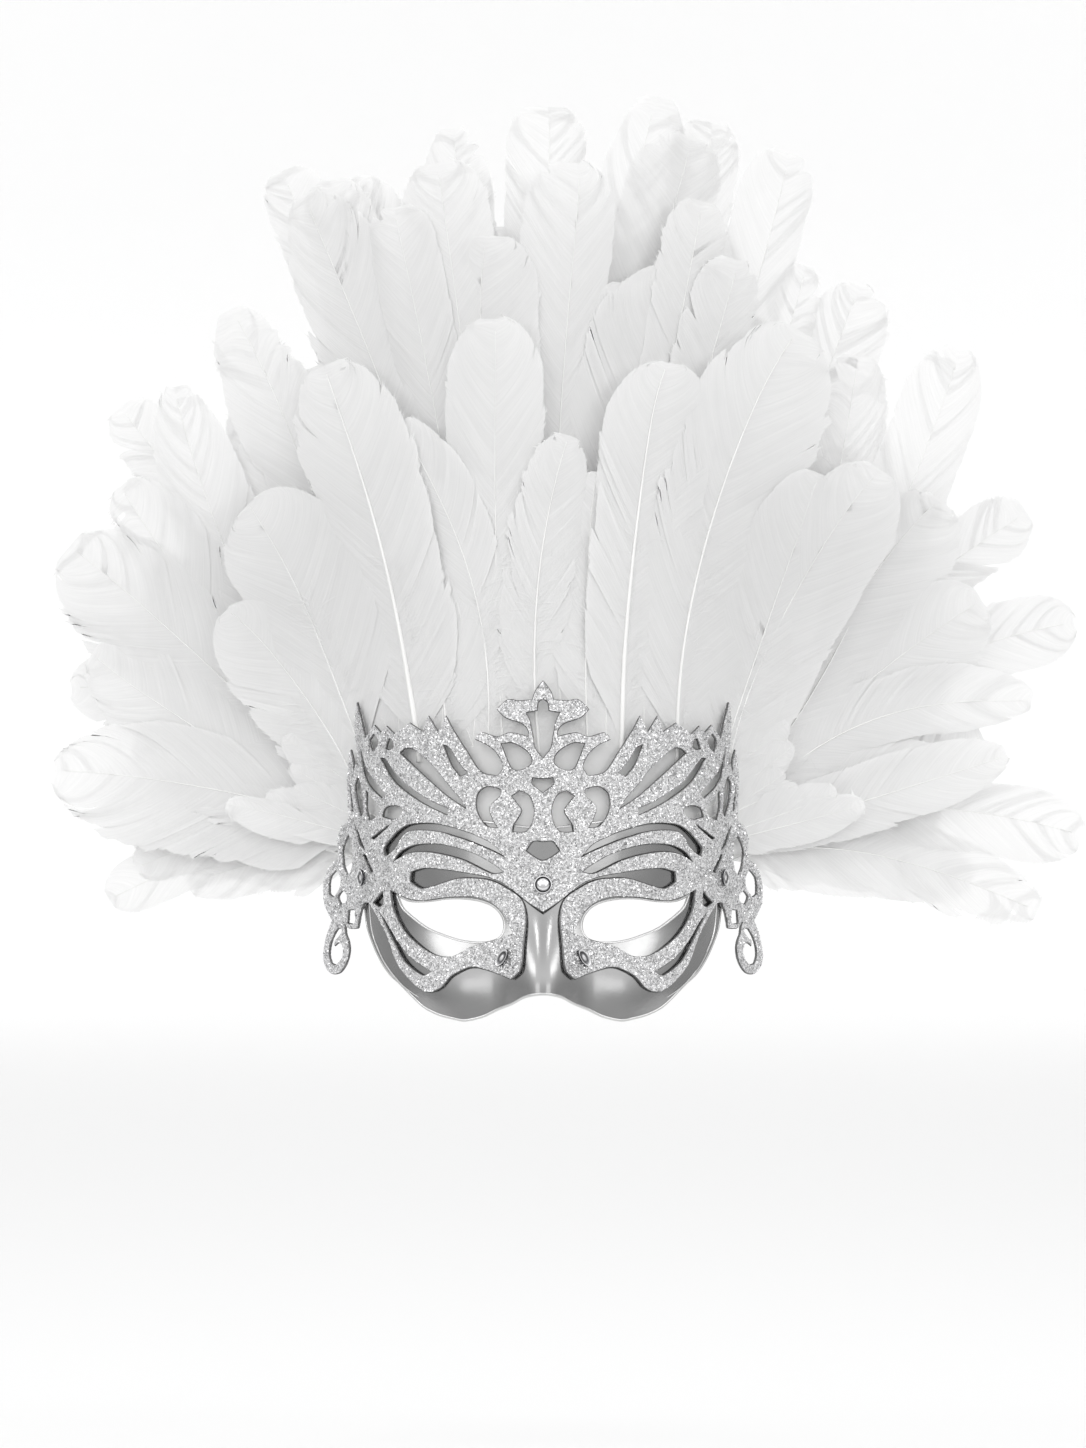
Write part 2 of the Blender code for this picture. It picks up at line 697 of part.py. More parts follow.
def stud(entry):
    """Domed head on the lattice with a shank through the clearance holes."""
    name, across, height, wide, tall, tilt = entry
    x, z = across * UNIT, height * UNIT
    rim = oval(wide, tall, tilt, STUD_SIDES)
    seat = face_point(x, z, LATTICE_OUT)
    out = (face_point(x, z, LATTICE_OUT + 1.0) - seat).normalized()
    side = Vector((0, 0, 1)).cross(out).normalized()
    up = out.cross(side)
    if side.x < 0:
        side = -side
    shank = oval(STUD_SHANK, STUD_SHANK, 0.0, STUD_SIDES)
    lift = PIECE_GAP + seat_rise(x, z, rim, seat, side, up, out)
    levels = [
        (shank, 1.0, -LATTICE_OUT + SHANK_END),
        (shank, 1.0, lift),
        (rim, 1.0, lift),
        (rim, 1.0, lift + STUD_RIM),
        (rim, 0.62, lift + STUD_RIM + STUD_DOME * 0.75),
    ]
    verts, faces = [], []
    for ring, share, rise in levels:
        for a, b in ring:
            verts.append((seat + side * a * share + up * b * share + out * rise) * MM)
    for level in range(len(levels) - 1):
        first = level * STUD_SIDES
        for i in range(STUD_SIDES):
            j = (i + 1) % STUD_SIDES
            faces.append((first + i, first + j, first + STUD_SIDES + j, first + STUD_SIDES + i))
    foot, top = len(verts), len(verts) + 1
    verts.append((seat + out * levels[0][2]) * MM)
    verts.append((seat + out * (lift + STUD_RIM + STUD_DOME)) * MM)
    last = (len(levels) - 1) * STUD_SIDES
    for i in range(STUD_SIDES):
        j = (i + 1) % STUD_SIDES
        faces.append((foot, j, i))
        faces.append((top, last + i, last + j))
    return add_object(name, verts, faces, "polished_stud")


def seat_rise(x, z, rim, seat, side, up, out):
    """How far the lattice stands above the seat plane under the rim."""
    highest = 0.0
    for a, b in rim:
        spot = seat + side * a + up * b
        under = face_point(spot.x, spot.z, LATTICE_OUT)
        highest = max(highest, (under - seat).dot(out))
    return highest


def fan_depth(x, z):
    """Depth of the feather fan, on the face curve at the crown and flatter above."""
    across = abs(x)
    high = FAN_DEPTH * (1.0 - math.exp(-(across / FAN_HALF) ** 2)) + FAN_SWEEP * across
    share = ease((z - FAN_FOOT) / FAN_RISE)
    lean = max(z - CROWN_FOOT, 0.0) * math.tan(CROWN_LEAN)
    return plan_depth(x) * (1.0 - share) + high * share + lean


def beyond_crown(x, z):
    """Distance outside the crown, in millimetres."""
    return max(math.hypot(x * 0.9, z) - CROWN_RADIUS, 0.0)


def row_depth(x, z, number):
    """Depth of one row: each row spreads further back away from the crown."""
    spread = number * min(beyond_crown(x, z) * ROW_SPREAD, ROW_SPREAD_MOST)
    return fan_depth(x, z) - SEAT_DEPTH + spread


def row_point(x, z, out, number):
    """Point of a row moved outward from the fan surface."""
    step = 1.0
    slope_x = (fan_depth(x + step, z) - fan_depth(x - step, z)) / (2.0 * step)
    slope_z = (fan_depth(x, z + step) - fan_depth(x, z - step)) / (2.0 * step)
    normal = Vector((slope_x, -1.0, slope_z)).normalized()
    return Vector((x, row_depth(x, z, number), z)) + normal * out


def feather_middle(entry):
    """Function of the bent middle line of a feather on the front drawing."""
    root, middle, tip = (tuple(u * UNIT for u in entry[k:k + 2]) for k in (0, 2, 4))
    bend = [2 * middle[k] - 0.5 * (root[k] + tip[k]) for k in (0, 1)]

    def at(t):
        return tuple(root[k] * (1 - t) ** 2 + 2 * bend[k] * t * (1 - t) + tip[k] * t * t
                     for k in (0, 1))
    return at


def feather_stations(entry):
    """Middle points, half widths and side directions along a feather."""
    at = feather_middle(entry)
    half = entry[-1] * UNIT / 2.0
    stations = []
    for t, share in BLADE_SHAPE:
        before, after = at(max(t - 0.05, 0.0)), at(min(t + 0.05, 1.0))
        length = math.dist(before, after)
        side = ((after[1] - before[1]) / length, -(after[0] - before[0]) / length)
        stations.append((at(t), QUILL_HALF + (half - QUILL_HALF) * share, side))
    return stations


def feather_outline(entry):
    """Closed outline of a feather on the front drawing."""
    stations = feather_stations(entry)
    right = [(m[0] + s[0] * w, m[1] + s[1] * w) for m, w, s in stations]
    left = [(m[0] - s[0] * w, m[1] - s[1] * w) for m, w, s in stations]
    return smooth_loop(right + [feather_middle(entry)(1.0)] + list(reversed(left)), 2)


def ridge_rise(x, z, rows):
    """Height of the highest feather ridge over a point, as a share."""
    best = 0.0
    for stations in rows:
        for (m0, w0, _s0), (m1, w1, _s1) in zip(stations, stations[1:]):
            dx, dz = m1[0] - m0[0], m1[1] - m0[1]
            t = ((x - m0[0]) * dx + (z - m0[1]) * dz) / (dx * dx + dz * dz)
            t = min(max(t, 0.0), 1.0)
            away = math.hypot(x - m0[0] - dx * t, z - m0[1] - dz * t)
            best = max(best, 1.0 - away / (w0 + (w1 - w0) * t))
    return best * ease((beyond_crown(x, z) - RIDGE_START) / RIDGE_FULL)


def feather_row(row):
    """One row of feathers fused to its strip."""
    number = ROW_ORDER.index(row)
    outer = -ROW_CLEARANCE - number * ROW_STEP
    inner = outer - STRIP_WALL
    strip = smooth_loop(both_halves(drawn(STRIP_EDGE)), 2)
    outlines = [strip] + [feather_outline(entry) for entry in FEATHERS[row]]
    loops = union_loops([unrolled(p) for p in outlines], [], [])
    loops = [simplified(p, ROW_TOLERANCE, ROW_EDGE) for p in loops
             if abs(signed_area(p)) > SMALLEST_GAP]
    rows = [feather_stations(entry) for entry in FEATHERS[row]]
    ridges = [unrolled([m])[0] for stations in rows for m, _w, _s in stations[2:]]
    flat, faces = flat_triangles(loops, ROW_GRID, ridges)
    places = [(run_to_x(p[0]), p[1]) for p in flat]
    back = [row_point(x, z, inner, number) * MM for x, z in places]
    rise = [ridge_rise(x, z, rows) * RIDGE_RISE for x, z in places]
    front = [row_point(x, z, outer + up, number) * MM
             for (x, z), up in zip(places, rise)]
    verts, solid = closed_sheet(back, front, faces)
    return add_object("feather_row_" + row, verts, solid, "white_feather")


def build():
    """Make every piece."""
    clear_scene()
    mask_shell()
    glitter_lattice()
    for entry in STUDS:
        stud(entry)
    for row in ROW_ORDER:
        feather_row(row)


build()
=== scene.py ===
"""Looks of the feather masquerade mask: satin shell, glitter lattice, studs and feathers."""
import math

import bpy
import numpy as np
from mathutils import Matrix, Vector
from mathutils.geometry import delaunay_2d_cdt


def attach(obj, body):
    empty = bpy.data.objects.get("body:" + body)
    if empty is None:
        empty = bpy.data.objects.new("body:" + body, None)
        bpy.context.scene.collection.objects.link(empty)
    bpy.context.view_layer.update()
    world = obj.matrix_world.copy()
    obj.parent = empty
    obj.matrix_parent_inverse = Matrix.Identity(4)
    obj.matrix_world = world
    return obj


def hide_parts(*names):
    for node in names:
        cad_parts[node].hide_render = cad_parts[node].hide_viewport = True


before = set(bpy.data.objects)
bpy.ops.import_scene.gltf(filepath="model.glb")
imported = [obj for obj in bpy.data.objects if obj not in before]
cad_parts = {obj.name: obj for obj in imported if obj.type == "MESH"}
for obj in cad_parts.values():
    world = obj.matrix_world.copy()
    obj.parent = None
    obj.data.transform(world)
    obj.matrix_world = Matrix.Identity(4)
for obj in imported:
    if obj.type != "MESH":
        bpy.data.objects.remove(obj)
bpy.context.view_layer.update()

MM = 0.001
TINY = 1e-12

# Front drawing: outlines are pairs of units, out from the centre line and up from the eyes
UNIT = 0.43

# Curve of the face seen from above, in millimetres
FACE_HALF = 82.0
FACE_DEPTH = 80.0
TEMPLE_X = 75.0
WING_SLOPE = 1.3
FLARE_BLEND = 5.0

# Relief of the face, in millimetres
NOSE_OUT = 15.0
NOSE_HALF = 13.0
NOSE_TOP = 10.0
NOSE_FOOT = -36.0
CHEEK_OUT = 3.5
CHEEK_X = 40.0
CHEEK_Z = -36.0
CHEEK_WIDE = 24.0
CHEEK_TALL = 16.0
SOCKET_IN = 3.0
SOCKET_X = 36.0
SOCKET_Z = -6.0
SOCKET_WIDE = 20.0
SOCKET_TALL = 11.0
CROWN_FOOT = 30.0
CROWN_LEAN = math.radians(7.0)

# Layers, measured outward from the inner side of the shell, in millimetres
SHELL_WALL = 1.6
PIECE_GAP = 0.35
LATTICE_IN = SHELL_WALL + PIECE_GAP
LATTICE_WALL = 1.5
LATTICE_OUT = LATTICE_IN + LATTICE_WALL
STRIP_WALL = 1.4
ROW_CLEARANCE = 1.0
ROW_STEP = STRIP_WALL + 2.0 * PIECE_GAP

# Outlines of the shell, left half
SHELL_EDGE = [
    (0, 76), (44, 81), (94, 86), (129, 86), (159, 82), (177, 76), (179, 55),
    (178, 15), (175, -21), (169, -40), (161, -57), (152, -70), (142, -79), (119, -101),
    (104, -109), (89, -113), (77, -115), (59, -111), (44, -104), (29, -98),
    (16, -91), (0, -88),
]
SHELL_EYE = [
    (145, 10), (140, -3), (130, -13), (114, -25), (98, -32), (82, -37), (66, -39),
    (52, -38), (41, -33), (37, -23), (39, -12), (47, -2), (59, 4), (76, 7),
    (94, 7), (114, 4), (132, 4),
]
STRAP_SLIT = [(167, 66), (147, 81), (150, 76), (164, 64)]

# Outer outline of the lattice, left half, in runs that follow each other
FINIAL_EDGE = [
    (0, 223), (7, 213), (10, 204), (24, 203), (34, 204), (44, 195), (36, 187),
    (20, 181), (14, 174), (14, 167), (32, 171), (44, 167), (59, 171), (65, 165),
    (54, 160), (44, 151), (38, 137), (44, 128), (60, 132), (74, 153), (87, 174),
]
SPIKE_EDGE = [
    (94, 188), (101, 171), (111, 188), (116, 172), (129, 181), (144, 170), (152, 178),
    (157, 171), (164, 179), (173, 165), (177, 183), (182, 202), (184, 177), (180, 139),
    (183, 140), (186, 128), (186, 140), (189, 154), (192, 125), (191, 83),
]
WING_FOOT = (205, -23)
WING_EDGE = [
    (198, 76), (202, 63), (201, 46), (210, 37), (216, 20), (216, 0), (211, -12),
    WING_FOOT, (195, -19), (191, -25), (181, -25), (178, -10), (174, 1), (168, 0),
]
EYE_FRAME_EDGE = [
    (154, -25), (149, -37), (140, -61), (124, -80), (111, -87), (99, -83), (89, -72),
    (74, -64), (64, -63), (41, -69), (27, -74), (18, -65), (16, -40), (15, -15),
    (20, 4), (34, 16), (49, 24), (64, 26.5), (84, 26), (117, 16), (129, 23),
    (128, 33), (114, 37), (89, 35), (59, 30), (47, 26.6), (36, 21), (24, 11),
    (13, 1), (0, -9),
]

# Openings of the lattice, left half
LATTICE_HOLES = {
    "leaf": [(41, 161), (30, 162), (18, 156), (11, 148), (11, 140), (20, 134),
             (30, 135), (36, 147)],
    "kidney_out": [(49, 118), (40, 115), (41, 108), (51, 97), (48, 85), (43, 76),
                   (55, 78), (64, 93), (64, 109), (57, 117)],
    "kidney_in": [(23, 114), (13, 109), (8, 95), (10, 81), (17, 72), (30, 72),
                  (29, 79), (21, 93), (25, 100), (31, 108)],
    "slot_inner": [(97, 160), (90, 157), (81, 142), (72, 131), (80, 127), (89, 139)],
    "slot_long": [(139, 151), (134, 156), (126, 156), (108, 141), (89, 117), (78, 104),
                  (73, 94), (92, 107), (112, 125)],
    "slot_outer": [(158, 146), (153, 146), (136, 124), (112, 106), (91, 96), (92, 88),
                   (119, 102), (144, 122)],
    "diamond": [(169, 164), (164, 171), (159, 164), (161, 157), (166, 151)],
    "notch_hole": [(153, 155), (150, 166), (146, 165), (144, 157), (148, 154)],
    "temple_arch": [(156, 87), (153, 96), (144, 99), (135, 96), (138, 88), (146, 84)],
    "crescent": [(178, 163), (176, 153), (170, 134), (152, 110), (156, 105), (168, 117),
                 (175, 133)],
    "wedge": [(172, 115), (164, 104), (157, 96), (161, 87), (169, 83), (172, 95)],
    "loop_hole": [(180, 129), (176, 117), (174, 91), (177, 86), (182, 102), (184, 119)],
    "side_slit": [(189.5, 122), (187, 108), (185, 91), (187.5, 93)],
    "wing_slit": [(185, 81), (178, 69), (172, 53), (178, 59)],
    "wing_loop": [(191, 69), (187, 63), (186, 47), (188, 33), (192, 27), (196, 37),
                  (197, 55)],
    "wing_ring": [(203, 34), (199, 25), (200, 15), (206, 5), (211, 9), (210, 25)],
    "wing_dot": [(202, 6), (197, 13), (192, 7), (194, 0), (199, -2)],
    "wing_tear": [(191, -7), (185, -6), (183, -17), (186, -22), (192, -21)],
    "temple_cut": [(175, 49), (172, 50), (164, 32), (167, 30)],
    "band_high": [(153, 47), (154, 57), (142, 72), (129, 80), (104, 81), (74, 73),
                  (49, 62), (36, 47), (54, 56), (82, 67), (109, 73), (132, 71),
                  (143, 55)],
    "band_low": [(145, 42), (139, 52), (124, 60), (99, 61), (69, 53), (47, 41),
                 (37, 33), (49, 31), (79, 45), (109, 52), (129, 51)],
    "eye": [(148, 15), (134, 8), (119, 5), (94, 9), (69, 10), (52, 5),
            (38, -7), (26, -30), (39, -35), (69, -44), (89, -54), (109, -50),
            (132, -31), (145, -7)],
    "under_eye": [(160, -6), (152, -17), (140, -38), (126, -55), (107, -68), (116, -72),
                  (134, -58), (148, -32)],
    "corner": [(165, 1), (155, 14), (154, 0), (159, -4)],
    "strap": STRAP_SLIT,
}
CENTRE_HOLES = {
    "finial_hole": [(0, 206), (-5, 202), (-6, 194), (-17, 192), (-13, 183), (-10, 167),
                    (-8, 156), (0, 145)],
    "heart": [(0, 126), (-10, 127), (-11, 120), (0, 111)],
    "brow_d": [(0, 64), (-10, 64), (-17, 54), (0, 44)],
}
CURL_EDGE = [
    (206, -14), (211, -27), (214, -36), (216, -46), (217, -55), (215, -64), (211, -70),
    (206, -72), (200, -70.5), (195, -64), (191.5, -55), (190.5, -45), (192, -37),
    (194, -32), (195, -24), (198, -14),
]
CURL_HOLE = [
    (198.5, -25.5), (202, -26), (206, -32), (209, -39), (211, -48), (211, -55),
    (208.5, -62), (204, -63.5), (199.5, -59), (196.5, -52), (196.5, -45.5), (199, -41),
    (202, -40.5), (205.5, -43.5), (204.5, -38.5), (200.5, -34), (197.5, -29),
]

# Felt strip behind the crown that carries each row
STRIP_EDGE = [
    (0, 163), (64, 159), (124, 157), (164, 153), (183, 135), (187, 105), (189, 75),
    (189, 39), (178, 33), (166, 60), (152, 93), (114, 113), (64, 119), (0, 121),
]

# Soft lining of the front strip, which closes the slots of the crown
LINING_EDGE = STRIP_EDGE[:8] + [
    (178, 33), (166, 50), (150, 62), (114, 74), (64, 78), (0, 78),
]

# Feathers: root, middle and tip across and up on the drawing, then the width
FEATHERS = {
    "front": [
        (-122, 143, -154, 345, -219, 543, 105), (-172, 130, -234, 305, -294, 403, 118),
        (80, 141, 101, 365, 128, 544, 105), (135, 139, 171, 365, 259, 577, 128),
        (183, 98, 231, 255, 341, 437, 95), (-3, 145, -6, 315, 26, 472, 75),
        (-39, 145, -47, 345, -47, 590, 90), (-56, 145, -64, 315, -144, 486, 65),
        (-94, 145, -114, 285, -139, 435, 90), (46, 145, 50, 305, 56, 435, 80),
        (172, 130, 216, 265, 276, 435, 90), (-182, 105, -244, 205, -319, 295, 90),
    ],
    "middle": [
        (-44, 145, -54, 405, -52, 673, 92), (1, 145, 6, 435, 32, 747, 84),
        (46, 145, 76, 385, 146, 639, 140), (96, 145, 126, 385, 194, 650, 66),
        (-64, 145, -124, 435, -239, 715, 110), (-84, 145, -144, 425, -214, 729, 70),
        (-54, 145, -94, 425, -149, 702, 62), (-34, 145, -64, 445, -104, 747, 82),
        (56, 145, 106, 425, 159, 708, 60), (-164, 115, -284, 285, -370, 522, 82),
        (-182, 85, -314, 215, -477, 360, 118), (183, 115, 256, 265, 316, 555, 76),
        (183, 105, 296, 265, 418, 560, 74), (183, 75, 316, 185, 492, 205, 66),
        (-182, 67, -304, 105, -492, 133, 122), (183, 60, 316, 105, 466, 151, 66),
        (-164, 125, -214, 345, -315, 599, 85), (183, 83, 306, 205, 441, 305, 92),
        (183, 95, 286, 255, 401, 405, 92), (-182, 90, -304, 265, -422, 423, 95),
        (-182, 75, -309, 160, -452, 255, 95),
    ],
    "back": [
        (-14, 145, -4, 475, 4, 803, 74), (16, 145, 56, 455, 117, 813, 90),
        (46, 145, 106, 455, 168, 788, 66), (76, 145, 156, 425, 244, 757, 68),
        (106, 145, 186, 405, 262, 643, 60), (146, 140, 226, 365, 321, 622, 76),
        (181, 115, 276, 285, 391, 425, 92), (184, 105, 316, 265, 486, 395, 64),
        (184, 90, 336, 215, 534, 283, 66), (184, 55, 336, 95, 542, 67, 68),
        (184, 43, 316, 55, 498, -7, 80), (-44, 145, -74, 455, -89, 781, 76),
        (-74, 145, -144, 435, -262, 739, 62), (-104, 145, -194, 345, -312, 593, 66),
        (-144, 135, -284, 325, -424, 501, 64), (-182, 70, -304, 185, -474, 215, 78),
        (-182, 85, -304, 245, -475, 320, 80), (-182, 47, -304, 55, -436, 5, 52),
        (-182, 43, -294, 67, -408, 37, 46), (-144, 140, -224, 345, -304, 505, 70),
        (184, 63, 316, 115, 441, 170, 92), (31, 145, 71, 465, 146, 773, 84),
        (-64, 145, -114, 455, -199, 727, 84), (-182, 57, -304, 95, -448, 99, 95),
    ],
}
ROW_ORDER = ("front", "middle", "back")
WING_END_X = 94.0
SIDE_SWEEP = 0.28
FAN_DEPTH = 58.0
FAN_HALF = 110.0
FAN_SWEEP = 0.14
FAN_FOOT = 90.0
FAN_RISE = 110.0
CROWN_RADIUS = 75.0
ROW_SPREAD = 0.14
ROW_SPREAD_MOST = 9.0
CROWN_SQUEEZE = 0.9

# Tables of the face curve: how far across, how many places, the steepest share
PLAN_REACH = 260.0
PLAN_PLACES = 2601
PLAN_STEEPEST = 0.985
FACE_STEP = 0.5
FAN_STEP = 1.0

# Camera: distance in metres, the photograph's height and middle in millimetres
CAMERA_AWAY = 5.0
PHOTO_TALL_MM = 1448 * UNIT
PHOTO_MIDDLE_UP = 181 * UNIT
SENSOR = 36.0
CAMERA_CLIP = 50.0

# Fine meshes, in millimetres
FINE_SHELL = 1.8
FINE_LATTICE = 2.2
FINE_EDGE = 1.5
FINE_TOLERANCE = 0.03
STRIP_EDGE_STEP = 3.0
STRIP_STEP = 4.0
GRID_ROW = 0.87
GRID_CLEAR = 0.45
GRID_MERGE = 1e-5
OUTLINE_MERGE = 1e-4

# Pieces of curve between drawn points, and angles that stay sharp, in degrees
LATTICE_PIECES = 7
SHELL_PIECES = 8
EYE_PIECES = 6
STRIP_PIECES = 6
CREASE_PIECES = 14
CORNER_TURN = 62.0
SHEET_SHARP = 40.0
STUD_SHARP = 50.0
RIM_SHARP = 60.0

# Rims, creases, painted shadow lines round the lattice and flakes, in millimetres
RIM_RADIUS = 0.7
RIM_SUNK = 0.5
RIM_SIDES = 8
CREASE_RADIUS = 0.55
CREASE_TAPER = 0.4
CREASE_SIDES = 6
SHADOW_LINE_UP = 0.7
SHADOW_LINE_RADIUS = 0.42
SHADOW_LINE_SIDES = 5
FLAKES = 26000
FLAKE_SMALL = 0.22
FLAKE_LARGE = 0.46
FLAKE_TILT = 0.33
FLAKE_UP = 0.10
FLAKE_UP_MORE = 0.12
FLAKE_SEED = 7

# Crease that runs inside the lower side edge of the shell
CREASE = [(173, 30), (170, -22), (162, -48), (152, -66), (138, -82), (122, -93)]

# Studs as they are seen: across, up, half width, half height, tilt, form
STUD_LOOKS = {
    "brow_stud": (0, 20, 4.0, 4.0, 0.0, "domed"),
    "cheek_stud_left": (-35.5, -54, 2.2, 4.2, -32.0, "dished"),
    "cheek_stud_right": (35.5, -54, 2.2, 4.2, 32.0, "dished"),
    "temple_stud_left": (-175, 26, 3.0, 3.6, 0.0, "dished"),
    "temple_stud_right": (175, 26, 3.0, 3.6, 0.0, "dished"),
}
STUD_FORMS = {
    "domed": [(1.00, 0.00), (1.00, 0.55), (0.94, 0.75), (0.86, 0.70), (0.80, 0.30),
              (0.76, 0.26), (0.74, 0.62), (0.68, 1.20), (0.56, 1.66), (0.38, 1.98),
              (0.18, 2.14)],
    "dished": [(1.00, 0.00), (1.00, 0.70), (0.95, 0.92), (0.89, 0.90), (0.82, 0.60),
               (0.66, 0.46), (0.45, 0.44), (0.22, 0.46)],
}
# Painted light and shade on the studs, against the share of the way out from the middle; 0
# paints a highlight and 1 paints shade: bright domes, middles and rims, shaded grooves and
# hollows, and a painted contact shadow at the outer edge
STUD_PAINTED_LIGHT = {
    "domed": [(0.0, 0.0), (0.60, 0.0), (0.72, 0.95), (0.80, 0.95), (0.86, 0.0),
              (0.93, 0.0), (1.0, 0.95)],
    "dished": [(0.0, 0.1), (0.24, 0.1), (0.44, 0.9), (0.70, 1.0), (0.82, 0.4),
               (0.89, 0.0), (0.95, 0.0), (1.0, 1.0)],
}
STUD_LIFT = 0.2
STUD_ROUND = 40
STUD_STEM = 0.30
STUD_SUNK = 0.3
STUD_CROWN = 0.05

# Feathers: spacing of the barbs, their lean, and how the vane is broken up
BARB_STEP = 0.95
BARB_STEP_HIDDEN = 1.4
BARB_PARTS = 6
BARB_SHARES = np.linspace(0.0, 1.0, BARB_PARTS + 1)
BARBS_LEAST = 30
BARB_CURVE = 1.15
BARB_ROUGH = 0.005
BARB_UV = 0.1
STEM_ENDS = (0.012, 0.992)
BARB_ANGLE_FOOT = math.radians(40.0)
BARB_ANGLE_TIP = math.radians(21.0)
CLUSTER_MEAN = 11.0
CLUMP_TAPER = 0.8
CLUMP_OVERLAP = 3
CLUMP_SHIFT = 0.0035
CLUMP_LIFT = 0.25
SPLIT_SHIFT = (0.5, 1.4)
SPLIT_SHORT = (0.5, 2.5)
SPLIT_WHERE = (0.0, 0.85)
TIP_FROM = 0.55
TIP_REACH = 0.35
TIP_CALM = 0.7
TIP_SHORT = 0.5
LEAN_MOST = 0.18
CAP_MOST = 0.6
LAYER_STEP = 0.8
VANE_WIDER = 1.12
VANE_TILT = math.radians(2.2)
CAMBER = 0.4
CAMBER_WIDE = 20.0
EDGE_TUCK = 0.6
TUCK_POWER = 8
EASE_REACH = 16.0
EASE_FROM = 30.0
EASE_STEPS = (-1.0, -0.5, 0.0, 0.5, 1.0)
WAVE_LIFT = 0.36
WAVE_FROM = 45.0
WAVES = ((1.0, 7.0, 2.1), (0.6, 13.0, -3.4))
TWIST = (0.45, 21.0)
FRINGE_LONG = 0.9
FRINGE_MOST = 3.2
FRINGE_TIP_AT = 0.35
FRINGE_FOOT_AT = 0.75
FRINGE_UVS = [(0.0, 0.9), (0.02, 0.9), (0.01, 1.0)]
RACHIS_TIP = 0.2
SHAFT_USUAL = 0.55
SHAFT_FAINT = 0.35
SHAFT_STEPS = np.concatenate([np.linspace(0.0, 0.9, 26), [0.94, 0.97]])
SHAFT_RAISED = 0.25
SHAFT_TAPER = 0.6
SHAFT_SIDES = 6
SHAFTS = {("front", 0): 1.7, ("front", 2): 1.4, ("front", 3): 1.1, ("front", 5): 0.8}
FRONT_LAYERS = (2.0, 1.0, 2.0, 1.0, 0.0, 1.4, -0.4, 0.6, 0.2, 0.0, 0.4, 0.0)
DOWN = {"front": (190, 0.5), "middle": (40, 0.3), "back": (12, 0.2), "fill": (8, 0.3),
        "coverts": (14, 0.2)}
DOWN_STEPS = np.linspace(0.0, 1.0, 6)
DOWN_FROM = 0.03
DOWN_LONG = (6.0, 15.0)
DOWN_HEADING = (0.35, 1.3)
DOWN_WAVE = 0.9
DOWN_LIFT = (0.2, 0.5)
DOWN_UP = 0.3
DOWN_HALF = 0.17
DOWN_THIN = 0.7
FILL_REACH = 0.87
FILL_STRAIGHT = 0.4
FILL_LAYER = -0.6
COVERT_LAYERS = (-0.5, -1.0)
COVERT_TURN = math.radians(78.0)
COVERT_OUT = 172.0
COVERT_HIGH = 118.0
COVERT_DROP = 62.0
COVERT_BEND = 1.15
COVERT_BEND_MOST = 1.35
COVERT_DROP_POWER = 2.4
COVERT_UNEVEN = 0.22
COVERT_BEAT = 5.0
COVERT_SIDE_LONGER = 0.3
COVERT_SIDE_SLIM = 0.25
COVERTS = {"front": (30, 104.0, 60.0), "middle": (24, 150.0, 68.0), "back": (20, 185.0, 80.0)}
VANE_FOOT = [(0.0, 0.16), (0.06, 0.34), (0.13, 0.60), (0.22, 0.82), (0.34, 0.94),
             (0.5, 0.98), (0.7, 1.0), (0.85, 1.0), (1.0, 0.97)]
SOFT_FOOT = [(0.0, 0.30), (0.1, 0.62), (0.25, 0.95), (0.5, 1.0), (1.0, 0.9)]
STYLES = {
    "round": {"foot": VANE_FOOT, "cap": 1.15, "ragged": 0.034, "splits": 2, "open": 0.02},
    "ragged": {"foot": VANE_FOOT, "cap": 1.3, "ragged": 0.07, "splits": 4, "open": 0.024},
    "pointed": {"foot": VANE_FOOT, "cap": 2.7, "ragged": 0.045, "splits": 3, "open": 0.022},
    "spiky": {"foot": VANE_FOOT, "cap": 2.3, "ragged": 0.12, "splits": 6, "open": 0.045},
    "comb": {"foot": VANE_FOOT, "cap": 1.5, "ragged": 0.05, "splits": 4, "open": 0.030,
             "where": (0.3, 0.9)},
    "low_split": {"foot": VANE_FOOT, "cap": 1.6, "ragged": 0.03, "splits": 5, "open": 0.055,
                  "where": (0.1, 0.5)},
    "fill": {"foot": SOFT_FOOT, "cap": 1.7, "ragged": 0.07, "splits": 2, "open": 0.010},
    "soft": {"foot": SOFT_FOOT, "cap": 2.6, "ragged": 0.16, "splits": 5, "open": 0.015},
}
FEATHER_STYLES = {
    "front": "comb comb low_split ragged round spiky round pointed ragged spiky comb ragged",
    "middle": "round round round ragged pointed ragged round round ragged pointed ragged "
              "ragged round pointed ragged pointed spiky round round spiky ragged",
    "back": "round pointed round round spiky round round ragged round round spiky pointed "
            "ragged spiky ragged ragged round round round spiky round round round ragged",
}

# Lights: name, place, target, width, height, power
LIGHTS = [
    ("key_left", (-1.5, -2.25, 3.2), (0.0, 0.05, 0.1), 0.35, 0.6, 5.0),
    ("key_right", (1.5, -2.25, 3.2), (0.0, 0.05, 0.1), 0.35, 0.6, 4.5),
    ("panel_left", (-2.6, -1.5, 1.38), (0.0, 0.05, 0.1), 1.5, 0.75, 7.3),
    ("panel_right", (2.6, -1.5, 1.38), (0.0, 0.05, 0.1), 1.5, 0.75, 6.9),
    ("front_left", (-1.75, -2.75, 0.1), (0.0, 0.05, 0.0), 1.4, 0.7, 3.1),
    ("front_right", (1.75, -2.75, 0.1), (0.0, 0.05, 0.0), 1.4, 0.7, 3.1),
    ("top", (0.0, 0.3, 3.0), (0.0, 0.1, 0.1), 2.4, 1.0, 8.0),
    ("wash_left", (-2.5, 8.2, 2.4), (-0.3, 10.0, 0.3), 1.5, 1.0, 16.2),
    ("wash_right", (2.5, 8.2, 2.4), (0.3, 10.0, 0.3), 1.5, 1.0, 16.2),
]

